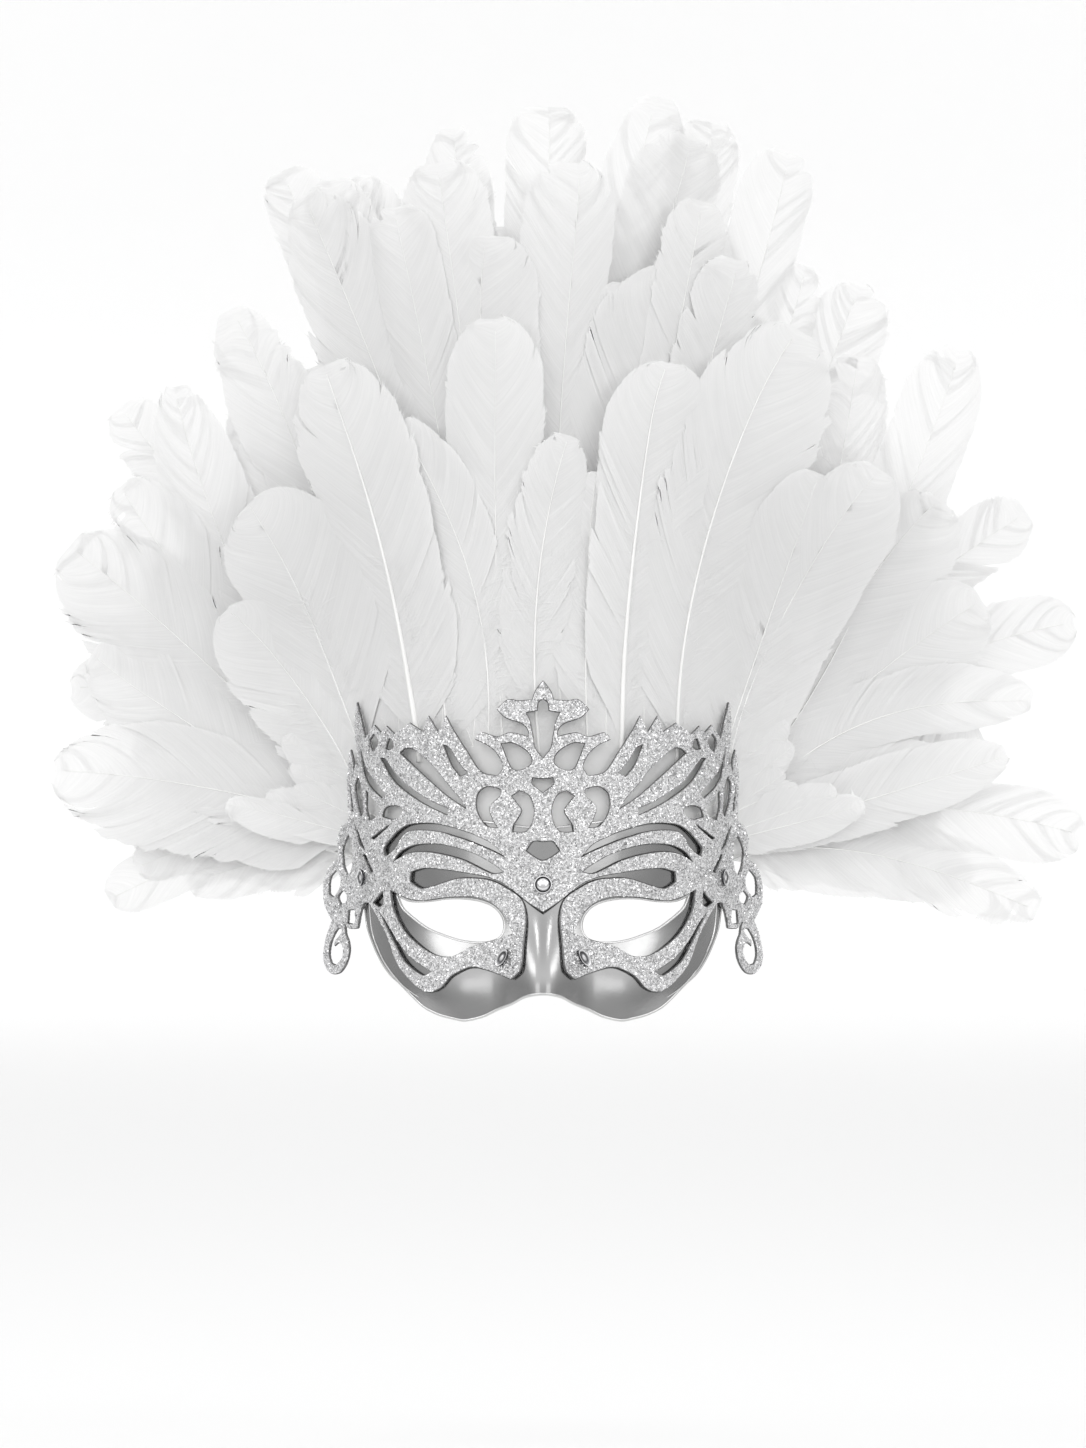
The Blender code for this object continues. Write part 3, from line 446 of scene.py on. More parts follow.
# Brightness of the room against the height looked at, and against the side
ROOM = [(0.0, 0.55), (0.3, 0.48), (0.42, 0.48), (0.5, 0.60), (0.6, 0.88), (0.7, 1.0),
        (0.8, 0.88), (0.89, 0.72), (1.0, 0.72)]
ROOM_SIDES = [(0.0, 1.0), (0.6, 1.0), (0.85, 0.82), (0.95, 0.62), (1.0, 0.55)]
ROOM_STRENGTH = 1.36

# Paper sweep, in metres: half width, front edge, floor, curve and top
SWEEP_HALF = 2.4
SWEEP_FRONT = -0.3
SWEEP_FLOOR = -0.25
SWEEP_BACK = 9.0
SWEEP_CURVE = 1.0
SWEEP_TOP = 6.0
SWEEP_STEPS = 12
SWEEP_TONE = 0.845


def plan_tables():
    """Depth and length along the face curve against the distance from the centre."""
    across = np.linspace(0.0, PLAN_REACH, PLAN_PLACES)
    share = np.minimum(across, TEMPLE_X + FLARE_BLEND) / FACE_HALF
    share = np.minimum(share, PLAN_STEEPEST)
    round_slope = FACE_DEPTH / FACE_HALF * share / np.sqrt(1.0 - share ** 2)
    blend = ease((across - TEMPLE_X) / FLARE_BLEND)
    slope = round_slope * (1.0 - blend) + WING_SLOPE * blend
    beyond = np.clip((across - WING_END_X) / FLARE_BLEND, 0.0, 1.0)
    slope = slope * (1.0 - beyond) + SIDE_SWEEP * beyond
    step = across[1] - across[0]
    middle = 0.5 * (slope[1:] + slope[:-1])
    depth = np.concatenate(([0.0], np.cumsum(middle) * step))
    run = np.concatenate(([0.0], np.cumsum(np.sqrt(1.0 + middle ** 2)) * step))
    return across, depth, run


def ease(value):
    """Smooth step from 0 to 1."""
    value = np.clip(value, 0.0, 1.0)
    return value * value * (3.0 - 2.0 * value)


PLAN_ACROSS, PLAN_DEPTH, PLAN_RUN = plan_tables()


def plan_depth(x):
    """How far back the face curve lies at a distance from the centre."""
    return np.interp(np.abs(x), PLAN_ACROSS, PLAN_DEPTH)


def plan_run(x):
    """Length along the face curve, with the sign of x."""
    return math.copysign(np.interp(abs(x), PLAN_ACROSS, PLAN_RUN), x)


def run_to_x(run):
    """Distance from the centre for a length along the face curve."""
    return math.copysign(float(np.interp(abs(run), PLAN_RUN, PLAN_ACROSS)), run)


def bump(value, centre, half):
    """Smooth hill of height one."""
    return math.exp(-((value - centre) / half) ** 2)


def crown_lean(z):
    """How far the crown and the fan lean back above the brow."""
    return np.maximum(z - CROWN_FOOT, 0.0) * math.tan(CROWN_LEAN)


def face_depth(x, z):
    """Depth of the inner side of the shell in millimetres."""
    nose = NOSE_OUT * bump(x, 0.0, NOSE_HALF) * ease((NOSE_TOP - z) / (NOSE_TOP - NOSE_FOOT))
    cheek = CHEEK_OUT * bump(abs(x), CHEEK_X, CHEEK_WIDE) * bump(z, CHEEK_Z, CHEEK_TALL)
    socket = SOCKET_IN * bump(abs(x), SOCKET_X, SOCKET_WIDE) * bump(z, SOCKET_Z, SOCKET_TALL)
    return plan_depth(x) - nose - cheek + socket + crown_lean(z)


SEAT_DEPTH = face_depth(0.0, 0.0)


def offset_point(depth, x, z, out, step):
    """Point of a surface moved outward, in millimetres; depth is the surface's function."""
    slope_x = (depth(x + step, z) - depth(x - step, z)) / (2.0 * step)
    slope_z = (depth(x, z + step) - depth(x, z - step)) / (2.0 * step)
    normal = Vector((slope_x, -1.0, slope_z)).normalized()
    return Vector((x, depth(x, z) - SEAT_DEPTH, z)) + normal * out


def face_point(x, z, out):
    """Point of the face surface moved outward, in millimetres."""
    return offset_point(face_depth, x, z, out, FACE_STEP)


def fan_depth(x, z):
    """Depth of the feather fan, on the face curve at the crown and flatter above."""
    across = np.abs(x)
    high = FAN_DEPTH * (1.0 - np.exp(-(across / FAN_HALF) ** 2)) + FAN_SWEEP * across
    share = ease((z - FAN_FOOT) / FAN_RISE)
    return plan_depth(x) * (1.0 - share) + high * share + crown_lean(z)


def beyond_crown(x, z):
    """Distance outside the crown, in millimetres."""
    return np.maximum(np.hypot(x * CROWN_SQUEEZE, z) - CROWN_RADIUS, 0.0)


def row_spread(x, z, number):
    """How much further back a row lies: it grows away from the crown."""
    return number * np.minimum(beyond_crown(x, z) * ROW_SPREAD, ROW_SPREAD_MOST)


def row_point(x, z, out, number):
    """Point of a row moved outward from the fan surface."""
    spread = Vector((0.0, row_spread(x, z, number), 0.0))
    return offset_point(fan_depth, x, z, out, FAN_STEP) + spread


def soft_depth(x, z):
    """Depth of the fan with its bend at the temples eased away from the crown."""
    reach = EASE_REACH * np.clip(beyond_crown(x, z) / EASE_FROM, 0.0, 1.0)
    return sum(fan_depth(x + k * reach, z) for k in EASE_STEPS) / len(EASE_STEPS)


def fan_slope(x, z):
    """Slope of the fan across."""
    return (soft_depth(x + FAN_STEP, z) - soft_depth(x - FAN_STEP, z)) / (2.0 * FAN_STEP)


def drawn(points):
    """Drawing units of the left half to millimetres."""
    return [(-out * UNIT, up * UNIT) for out, up in points]


def mirrored(points):
    """The same outline on the other half, with the turn kept."""
    return [(-x, z) for x, z in reversed(points)]


def turn_angle(before, here, after):
    """Change of direction at a point, in degrees."""
    first = Vector((here[0] - before[0], here[1] - before[1]))
    second = Vector((after[0] - here[0], after[1] - here[1]))
    if min(first.length, second.length) < TINY:
        return 180.0
    return math.degrees(abs(first.angle_signed(second)))


def smooth_loop(points, pieces):
    """Closed curve through the points, with sharp points kept sharp."""
    count = len(points)
    tangents = []
    for i, here in enumerate(points):
        before, after = points[i - 1], points[(i + 1) % count]
        sharp = turn_angle(before, here, after) > CORNER_TURN
        along = ((after[0] - before[0]) / 2, (after[1] - before[1]) / 2)
        tangents.append((0.0, 0.0) if sharp else along)
    result = []
    for i, here in enumerate(points):
        j = (i + 1) % count
        chord = math.dist(here, points[j])
        start, end = limited(tangents[i], chord), limited(tangents[j], chord)
        result += [hermite(here, points[j], start, end, k / pieces) for k in range(pieces)]
    return result


def open_curve(points, pieces):
    """Smooth open run through the points."""
    ends = [points[0]] + points + [points[-1]]
    result = []
    for p0, p1, p2, p3 in zip(ends, ends[1:], ends[2:], ends[3:]):
        m1 = tuple((p2[k] - p0[k]) / 2 for k in (0, 1))
        m2 = tuple((p3[k] - p1[k]) / 2 for k in (0, 1))
        result += [hermite(p1, p2, m1, m2, k / pieces) for k in range(pieces)]
    return result + [points[-1]]


def limited(tangent, chord):
    """Tangent no longer than the chord."""
    length = math.hypot(*tangent)
    if length <= chord:
        return tangent
    return (tangent[0] * chord / length, tangent[1] * chord / length)


def hermite(p1, p2, m1, m2, t):
    """Point of a cubic between two points."""
    h1 = 2 * t ** 3 - 3 * t ** 2 + 1
    h2 = t ** 3 - 2 * t ** 2 + t
    h3 = -2 * t ** 3 + 3 * t ** 2
    h4 = t ** 3 - t ** 2
    return tuple(h1 * p1[k] + h2 * m1[k] + h3 * p2[k] + h4 * m2[k] for k in (0, 1))


def both_halves(run):
    """Full outline from a left half that starts and ends on the centre line."""
    return run + mirrored(run)[1:-1]


def unrolled(points):
    """Millimetres on the front drawing to millimetres along the sheet."""
    return [(plan_run(x), z) for x, z in points]


def signed_area(points):
    """Area of a loop, positive when it turns left."""
    total = 0.0
    for i, (x1, y1) in enumerate(points):
        x0, y0 = points[i - 1]
        total += x0 * y1 - x1 * y0
    return total / 2.0


def turned_left(points):
    """The loop with a left turn."""
    return points if signed_area(points) > 0 else list(reversed(points))


def border_edges(faces):
    """Directed edges that only one face has."""
    edges = {(a, b): True for face in faces for a, b in zip(face, face[1:] + face[:1])}
    return [(a, b) for a, b in edges if (b, a) not in edges]


def union_loops(solids, holes):
    """Boundary loops of solids less holes, all flat."""
    coords, rings = [], []
    for face in solids + holes:
        rings.append(list(range(len(coords), len(coords) + len(face))))
        coords.extend(Vector(p) for p in turned_left(face))
    verts, _e, faces, _ov, _oe, origins = delaunay_2d_cdt(coords, [], rings, 1, OUTLINE_MERGE)
    kept = [face for face, origin in zip(faces, origins)
            if origin and max(origin) < len(solids)]
    border = {}
    for a, b in border_edges(kept):
        border.setdefault(a, []).append(b)
    return chained(border, verts)


def chained(border, verts):
    """Directed border edges to loops of points."""
    loops = []
    while border:
        start = next(iter(border))
        loop, here = [], start
        while here in border:
            loop.append(tuple(verts[here]))
            nexts = border[here]
            following = nexts.pop()
            if not nexts:
                del border[here]
            here = following
        loops.append(loop)
    return loops


def dense(loop, longest):
    """Loop with needless points dropped and long sides divided."""
    middle = max(range(len(loop)), key=lambda i: math.dist(loop[0], loop[i]))
    keep = thinned(loop[:middle + 1])[:-1] + thinned(loop[middle:] + loop[:1])[:-1]
    result = []
    for here, after in zip(keep, keep[1:] + keep[:1]):
        pieces = max(1, math.ceil(math.dist(here, after) / longest))
        result += [tuple(p + (q - p) * (k / pieces) for p, q in zip(here, after))
                   for k in range(pieces)]
    return result


def thinned(run):
    """Open run with the points dropped that lie on its line."""
    if len(run) < 3:
        return run
    a, b = run[0], run[-1]
    base = max(math.dist(a, b), TINY)
    far, index = 0.0, 0
    for i in range(1, len(run) - 1):
        cross = (b[0] - a[0]) * (run[i][1] - a[1]) - (b[1] - a[1]) * (run[i][0] - a[0])
        away = abs(cross) / base
        if away > far:
            far, index = away, i
    if far < FINE_TOLERANCE:
        return [a, b]
    return thinned(run[:index + 1])[:-1] + thinned(run[index:])


def inside(points, loops):
    """Even and odd test of many points against all loops."""
    points = np.asarray(points, dtype=float)
    odd = np.zeros(len(points), dtype=bool)
    for loop in loops:
        ring = np.asarray(loop)
        nxt = np.roll(ring, -1, axis=0)
        for (x0, y0), (x1, y1) in zip(ring, nxt):
            if y0 == y1:
                continue
            crosses = (points[:, 1] < y0) != (points[:, 1] < y1)
            at = x0 + (points[:, 1] - y0) * (x1 - x0) / (y1 - y0)
            odd ^= crosses & (points[:, 0] < at)
    return odd


def border_distance(points, loops):
    """Distance of many points from the nearest loop."""
    points = np.asarray(points, dtype=float)
    best = np.full(len(points), np.inf)
    for loop in loops:
        ring = np.asarray(loop)
        for start, end in zip(ring, np.roll(ring, -1, axis=0)):
            side = end - start
            t = np.clip(((points - start) @ side) / max(float(side @ side), TINY), 0.0, 1.0)
            away = np.hypot(*(points - start - t[:, None] * side).T)
            best = np.minimum(best, away)
    return best


def closed_sheet(back, front, faces):
    """Points and faces of a sheet closed round its border."""
    count = len(back)
    solid = [tuple(i + count for i in face) for face in faces]
    solid += [tuple(reversed(face)) for face in faces]
    for a, b in border_edges(faces):
        solid += [(a, b, b + count), (a, b + count, a + count)]
    return back + front, solid


def oval(wide, tall, tilt, sides):
    """Points of a tilted oval round the middle."""
    turn = math.radians(tilt)
    points = []
    for i in range(sides):
        angle = 2.0 * math.pi * i / sides
        a, b = wide * math.cos(angle), tall * math.sin(angle)
        points.append((a * math.cos(turn) - b * math.sin(turn),
                       a * math.sin(turn) + b * math.cos(turn)))
    return points


def lattice_loops():
    """Border loops of the lattice, along the sheet."""
    half = FINIAL_EDGE + SPIKE_EDGE + WING_EDGE + EYE_FRAME_EDGE
    outline = smooth_loop(both_halves(drawn(half)), LATTICE_PIECES)
    curl, curl_hole = (smooth_loop(drawn(points), LATTICE_PIECES)
                       for points in (CURL_EDGE, CURL_HOLE))
    holes = []
    for points in LATTICE_HOLES.values():
        hole = smooth_loop(drawn(points), LATTICE_PIECES)
        holes += [hole, mirrored(hole)]
    for points in CENTRE_HOLES.values():
        holes.append(smooth_loop(both_halves(drawn(points)), LATTICE_PIECES))
    holes += [curl_hole, mirrored(curl_hole)]
    solids = [outline, curl, mirrored(curl)]
    return union_loops([unrolled(p) for p in solids], [unrolled(p) for p in holes])


def fine_triangles(loops, step):
    """Triangles that fill the loops on a fine even grid."""
    flat = np.concatenate([np.asarray(loop) for loop in loops])
    low, high = flat.min(axis=0), flat.max(axis=0)
    levels = np.arange(low[1] + step / 2, high[1], step * GRID_ROW)
    grid = np.asarray([(x + (step / 2 if n % 2 else 0.0), z) for n, z in enumerate(levels)
                       for x in np.arange(low[0], high[0], step)])
    grid = grid[inside(grid, loops)]
    grid = grid[border_distance(grid, loops) > step * GRID_CLEAR]
    coords, edges = [], []
    for loop in loops:
        first, count = len(coords), len(loop)
        coords.extend(Vector(p) for p in loop)
        edges.extend((first + i, first + (i + 1) % count) for i in range(count))
    coords.extend(Vector(p) for p in grid.tolist())
    verts, _e, faces, _ov, _oe, _of = delaunay_2d_cdt(coords, edges, [], 0, GRID_MERGE)
    corners = np.asarray([tuple(v) for v in verts])
    good = inside(corners[np.asarray(faces)].mean(axis=1), loops)
    return corners, [face for face, ok in zip(faces, good) if ok]


def make_object(name, verts, faces, surface, sharp=None, uvs=None):
    """Mesh object from points in metres, smooth up to the sharp angle in degrees."""
    mesh = bpy.data.meshes.new(name)
    mesh.from_pydata([tuple(v) for v in verts], [], faces)
    mesh.polygons.foreach_set("use_smooth", [True] * len(mesh.polygons))
    if uvs is not None:
        layer = mesh.uv_layers.new(name="barbs")
        corner_verts = np.empty(len(mesh.loops), dtype=np.int32)
        mesh.loops.foreach_get("vertex_index", corner_verts)
        layer.data.foreach_set("uv", np.asarray(uvs, dtype=np.float32)[corner_verts].ravel())
    if sharp is not None:
        mesh.set_sharp_from_angle(angle=math.radians(sharp))
    mesh.materials.append(surface)
    obj = bpy.data.objects.new(name, mesh)
    bpy.context.scene.collection.objects.link(obj)
    return obj


def sheet_parts(loops, step, place, inner, outer):
    """Closed sheet between two offsets of a surface, and the sheet's front alone."""
    flat, faces = fine_triangles(loops, step)
    places = [(run_to_x(run), z) for run, z in flat]
    back, front = ([place(x, z, out) * MM for x, z in places] for out in (inner, outer))
    return closed_sheet(back, front, faces), (front, faces)


def tube(points, radii, sides, closed=False):
    """Round tube along points in millimetres."""
    count = len(points)
    verts, faces = [], []
    normal = None
    for i, point in enumerate(points):
        before = points[i - 1] if closed or i else points[i]
        after = points[(i + 1) % count] if closed or i < count - 1 else points[i]
        along = (after - before).normalized()
        if normal is None:
            normal = along.orthogonal().normalized()
        normal = (normal - along * normal.dot(along)).normalized()
        other = along.cross(normal)
        for k in range(sides):
            angle = 2.0 * math.pi * k / sides
            spread = normal * math.cos(angle) + other * math.sin(angle)
            verts.append((point + spread * radii[i]) * MM)
    rounds = count if closed else count - 1
    for i in range(rounds):
        a, b = i * sides, ((i + 1) % count) * sides
        for k in range(sides):
            j = (k + 1) % sides
            faces.append((a + k, a + j, b + j, b + k))
    if not closed:
        faces.append(tuple(reversed(range(sides))))
        faces.append(tuple(range((count - 1) * sides, count * sides)))
    return verts, faces


def edge_tube(loop, out, radius, sides):
    """Round bead along a loop of a sheet."""
    line = [face_point(run_to_x(run), z, out) for run, z in loop]
    return tube(line, [radius] * len(line), sides, True)


def joined(parts):
    """One list each of points, faces and texture places, where the parts have them."""
    verts, faces, uvs = [], [], []
    for part_verts, part_faces, *part_uvs in parts:
        first = len(verts)
        verts.extend(part_verts)
        faces.extend(tuple(i + first for i in face) for face in part_faces)
        uvs.extend(*part_uvs or [[]])
    return verts, faces, uvs


def shell_piece(surface, highlight_rim_surface):
    """Satin shell with its rolled rims and side creases, which carry a painted highlight."""
    edge = smooth_loop(both_halves(drawn(SHELL_EDGE)), SHELL_PIECES)
    eye = smooth_loop(drawn(SHELL_EYE), EYE_PIECES)
    slit = drawn(STRAP_SLIT)
    loops = [dense(unrolled(loop), FINE_EDGE)
             for loop in (edge, eye, mirrored(eye), slit, mirrored(slit))]
    sheet, _front = sheet_parts(loops, FINE_SHELL, face_point, 0.0, SHELL_WALL)
    shell = make_object("satin_shell", *sheet, surface, SHEET_SHARP)
    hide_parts("mask_shell")
    rims = [edge_tube(loop, SHELL_WALL - RIM_SUNK, RIM_RADIUS, RIM_SIDES)
            for loop in loops[:3]]
    for side in (1, -1):
        bends = [(x * side, z) for x, z in drawn(CREASE)]
        spots = [face_point(x, z, SHELL_WALL) for x, z in open_curve(bends, CREASE_PIECES)]
        swell = [math.sin(math.pi * (i + 0.5) / len(spots)) for i in range(len(spots))]
        radii = [CREASE_RADIUS * share ** CREASE_TAPER for share in swell]
        rims.append(tube(spots, radii, CREASE_SIDES))
    # Rims and creases take a lighter copy of the satin: a painted highlight along the lips and
    # creases
    rim_verts, rim_faces, _uvs = joined(rims)
    rim = make_object("shell_rims", rim_verts, rim_faces, highlight_rim_surface, RIM_SHARP)
    for piece in (shell, rim):
        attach(piece, "root")


def lattice_piece(surface, flake_surface, shadow_line_surface):
    """Cut glitter sheet, a dark bead round its edges as a painted shadow line, and the loose
    flakes that catch the light.
    """
    loops = [dense(loop, FINE_EDGE) for loop in lattice_loops()]
    closed, front = sheet_parts(loops, FINE_LATTICE, face_point, LATTICE_IN, LATTICE_OUT)
    sheet = make_object("glitter_sheet", *closed, surface, SHEET_SHARP)
    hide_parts("glitter_lattice")
    flakes = make_object("glitter_flakes", *flake_mesh(*front), flake_surface)
    # Dark bead along every edge of the sheet: a painted shadow line where the sheet stands off
    # the shell
    verts, faces, _uvs = joined([
        edge_tube(loop, LATTICE_IN + SHADOW_LINE_UP, SHADOW_LINE_RADIUS, SHADOW_LINE_SIDES)
        for loop in loops])
    shadow_line = make_object("glitter_shadow_lines", verts, faces, shadow_line_surface)
    for piece in (sheet, flakes, shadow_line):
        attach(piece, "root")


def flake_mesh(front, faces):
    """Small tilted flakes spread over the front of the sheet."""
    rng = np.random.default_rng(FLAKE_SEED)
    corners = np.asarray([tuple(p) for p in front])[np.asarray(faces)]
    first, second = corners[:, 1] - corners[:, 0], corners[:, 2] - corners[:, 0]
    cross = np.cross(first, second)
    size = np.linalg.norm(cross, axis=1)
    normals = cross / np.maximum(size, TINY)[:, None]
    normals *= np.where(normals[:, 1] > 0, -1.0, 1.0)[:, None]
    chosen = rng.choice(len(faces), FLAKES, p=size / size.sum())
    u, v = rng.random(FLAKES), rng.random(FLAKES)
    flip = u + v > 1.0
    u[flip], v[flip] = 1.0 - u[flip], 1.0 - v[flip]
    spot = corners[chosen, 0] + first[chosen] * u[:, None] + second[chosen] * v[:, None]
    tilted = normals[chosen] + rng.normal(0.0, FLAKE_TILT, (FLAKES, 3))
    tilted /= np.linalg.norm(tilted, axis=1)[:, None]
    side = np.cross(tilted, rng.normal(0.0, 1.0, (FLAKES, 3)))
    side /= np.linalg.norm(side, axis=1)[:, None]
    other = np.cross(tilted, side)
    half = FLAKE_SMALL + (FLAKE_LARGE - FLAKE_SMALL) * rng.random(FLAKES) ** 2
    side, other = side * half[:, None] * MM, other * half[:, None] * MM
    spot = spot + normals[chosen] * (FLAKE_UP + FLAKE_UP_MORE * rng.random(FLAKES))[:, None] * MM
    quads = np.stack([spot + side, spot + other, spot - side, spot - other], axis=1)
    ids = np.arange(FLAKES * 4).reshape(-1, 4)
    return quads.reshape(-1, 3).tolist(), [tuple(row) for row in ids.tolist()]


def stud_piece(node, surface):
    """Turned stud head with its rim."""
    across, height, wide, tall, tilt, form = STUD_LOOKS[node]
    x, z = across * UNIT, height * UNIT
    seat = face_point(x, z, LATTICE_OUT)
    out = (face_point(x, z, LATTICE_OUT + 1.0) - seat).normalized()
    side = Vector((0, 0, 1)).cross(out).normalized()
    up = out.cross(side)
    side = -side if side.x < 0 else side
    rings = [(STUD_STEM, STUD_SUNK - LATTICE_OUT), (STUD_STEM, 0.0)] + STUD_FORMS[form]
    ring = [side * a + up * b for a, b in oval(wide, tall, tilt, STUD_ROUND)]
    lift = STUD_LIFT
    for spoke in ring:
        spot = seat + spoke
        lift = max(lift, STUD_LIFT + (face_point(spot.x, spot.z, LATTICE_OUT) - spot).dot(out))
    # The painted light and shade of each ring goes into the texture places
    shares, light_shade_tones = zip(*STUD_PAINTED_LIGHT[form])
    verts, faces, uvs = [], [], []
    for share, rise in rings:
        verts += [(seat + spoke * share + out * (rise + lift)) * MM for spoke in ring]
        uvs += [(float(np.interp(share, shares, light_shade_tones)), rise)] * STUD_ROUND
    for first in range(0, (len(rings) - 1) * STUD_ROUND, STUD_ROUND):
        for i in range(STUD_ROUND):
            j = (i + 1) % STUD_ROUND
            faces.append((first + i, first + j, first + STUD_ROUND + j,
                          first + STUD_ROUND + i))
    last, top = (len(rings) - 1) * STUD_ROUND, len(verts)
    verts.append((seat + out * (rings[-1][1] + lift + STUD_CROWN)) * MM)
    verts.append((seat + out * (rings[0][1] + lift)) * MM)
    for i in range(STUD_ROUND):
        j = (i + 1) % STUD_ROUND
        faces += [(top, last + i, last + j), (top + 1, j, i)]
    uvs += [(light_shade_tones[0], 0.0), (0.0, 0.0)]
    piece = make_object("fine_" + node, verts, faces, surface, STUD_SHARP, uvs)
    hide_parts(node)
    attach(piece, "root")


class Feather:
    """One feather on the fan surface of its row."""

    def __init__(self, entry, number, layer, style, seed, step):
        self.root, middle, self.tip = (
            np.array(entry[k:k + 2], dtype=float) * UNIT for k in (0, 2, 4))
        self.bend = 2 * middle - 0.5 * (self.root + self.tip)
        self.half = entry[-1] * UNIT / 2.0 * VANE_WIDER
        self.number, self.layer, self.step = number, layer, step
        self.style = STYLES[style]
        self.rng = np.random.default_rng(seed)
        line = np.diff(self.middle_at(np.linspace(0, 1, 40)), axis=0)
        self.length = float(np.sum(np.linalg.norm(line, axis=1)))
        self.turn = math.tan(VANE_TILT) * (1.0 if self.tip[0] >= 0 else -1.0)
        self.lean = self.rng.uniform(-LEAN_MOST, LEAN_MOST)
        self.foot = np.asarray(self.style["foot"])
        self.cap = min(self.style["cap"] * self.half / self.length, CAP_MOST)
        self.waves = self.rng.uniform(0.0, 2.0 * math.pi, 4)

    def middle_at(self, t):
        """Points of the bent middle line."""
        t = np.asarray(t)[..., None]
        return self.root * (1 - t) ** 2 + 2 * self.bend * t * (1 - t) + self.tip * t * t

    def side_at(self, t):
        """Directions across the feather."""
        t = np.asarray(t)[..., None]
        along = 2 * (self.bend - self.root) * (1 - t) + 2 * (self.tip - self.bend) * t
        along = along / np.linalg.norm(along, axis=-1, keepdims=True)
        return np.stack([along[..., 1], -along[..., 0]], axis=-1)

    def half_at(self, t):
        """Half widths of the vane."""
        past = np.clip((np.asarray(t) - 1.0 + self.cap) / self.cap, 0.0, 1.0)
        rounding = np.sqrt(np.maximum(1.0 - past ** 2, 0.0))
        return self.half * rounding * np.interp(t, self.foot[:, 0], self.foot[:, 1])

    def place(self, t, across, lift):
        """Points on the fan, moved across and lifted toward the viewer, in millimetres."""
        flat = self.middle_at(t) + self.side_at(t) * across[..., None]
        x, z = flat[..., 0], flat[..., 1]
        share = across / self.half
        wave = TWIST[0] * share * np.sin(TWIST[1] * t + self.waves[2])
        for (size, along, aside), phase in zip(WAVES, self.waves):
            wave = wave + size * np.sin(along * t + aside * share + phase)
        grown = np.clip(beyond_crown(x, z) / WAVE_FROM, 0.0, 1.0)
        rise = (self.layer * LAYER_STEP + WAVE_LIFT * wave) * grown + lift \
            - ROW_CLEARANCE - self.number * ROW_STEP - STRIP_WALL / 2.0
        depth = soft_depth(x, z) - SEAT_DEPTH + row_spread(x, z, self.number) \
            - rise * np.sqrt(1.0 + fan_slope(x, z) ** 2) + across * self.turn
        grow = 1.0 + depth / (CAMERA_AWAY / MM)
        middle = PHOTO_MIDDLE_UP
        return np.stack([x * grow, depth, middle + (z - middle) * grow], axis=-1)


def clusters(feather, count):
    """First and last barb of each group that holds together."""
    groups, first = [], 0
    while first < count:
        size = int(feather.rng.geometric(1.0 / CLUSTER_MEAN)) + 2
        last = min(first + size, count)
        groups.append((first, last))
        first = last
    return groups


def fringe(ends, before, rng, hand):
    """Fine loose barb ends along the edge of a group."""
    along = ends - before
    along /= np.linalg.norm(along, axis=1)[:, None] + TINY
    gap = ends[1:] - ends[:-1]
    long = np.minimum(rng.exponential(FRINGE_LONG, len(gap)), FRINGE_MOST)
    tips = ends[:-1] + FRINGE_TIP_AT * gap + along[:-1] * long[:, None]
    feet = ends[:-1] + FRINGE_FOOT_AT * gap
    trios = np.stack([ends[:-1], feet, tips], axis=1).reshape(-1, 3) * MM
    turn = (0, 1, 2) if hand < 0 else (0, 2, 1)
    faces = [tuple(3 * i + k for k in turn) for i in range(len(gap))]
    return trios.tolist(), faces, FRINGE_UVS * len(gap)


def clump_points(feather, hand, stems, bow, shift, scale, short, lift):
    """Points of a group of barbs, a row for each barb from the shaft outward."""
    stem, share = stems[:, None], BARB_SHARES[None, :]
    angles = BARB_ANGLE_FOOT + (BARB_ANGLE_TIP - BARB_ANGLE_FOOT) * stem
    reach = feather.half / np.tan(angles) / feather.length
    gone = 1.0 - np.exp(-reach / (1.0 - stem + 1e-3))
    t = stem + (1.0 - stem) * gone * share ** BARB_CURVE
    t = t + (shift * (1.0 - stem) - short) * share ** 2
    t = np.clip(np.maximum(t, stem + 1e-4), 0.0, 1.0)
    shorter = CLUMP_TAPER * feather.style["ragged"] * bow[:, None] ** 2 * share ** 2
    rough = feather.rng.normal(0.0, BARB_ROUGH, (len(stems), 1)) * share ** 3
    wide = feather.half_at(t)
    start = feather.lean * feather.half_at(stem)
    edge = hand * wide * scale * (1.0 - shorter + rough)
    across = start + (edge - start) * share
    out = np.abs(across / (wide + 1e-6))
    bent = CAMBER * out ** 2 * np.clip(wide / CAMBER_WIDE, 0.0, 1.0)
    return feather.place(t, across, lift * share - bent - EDGE_TUCK * out ** TUCK_POWER)


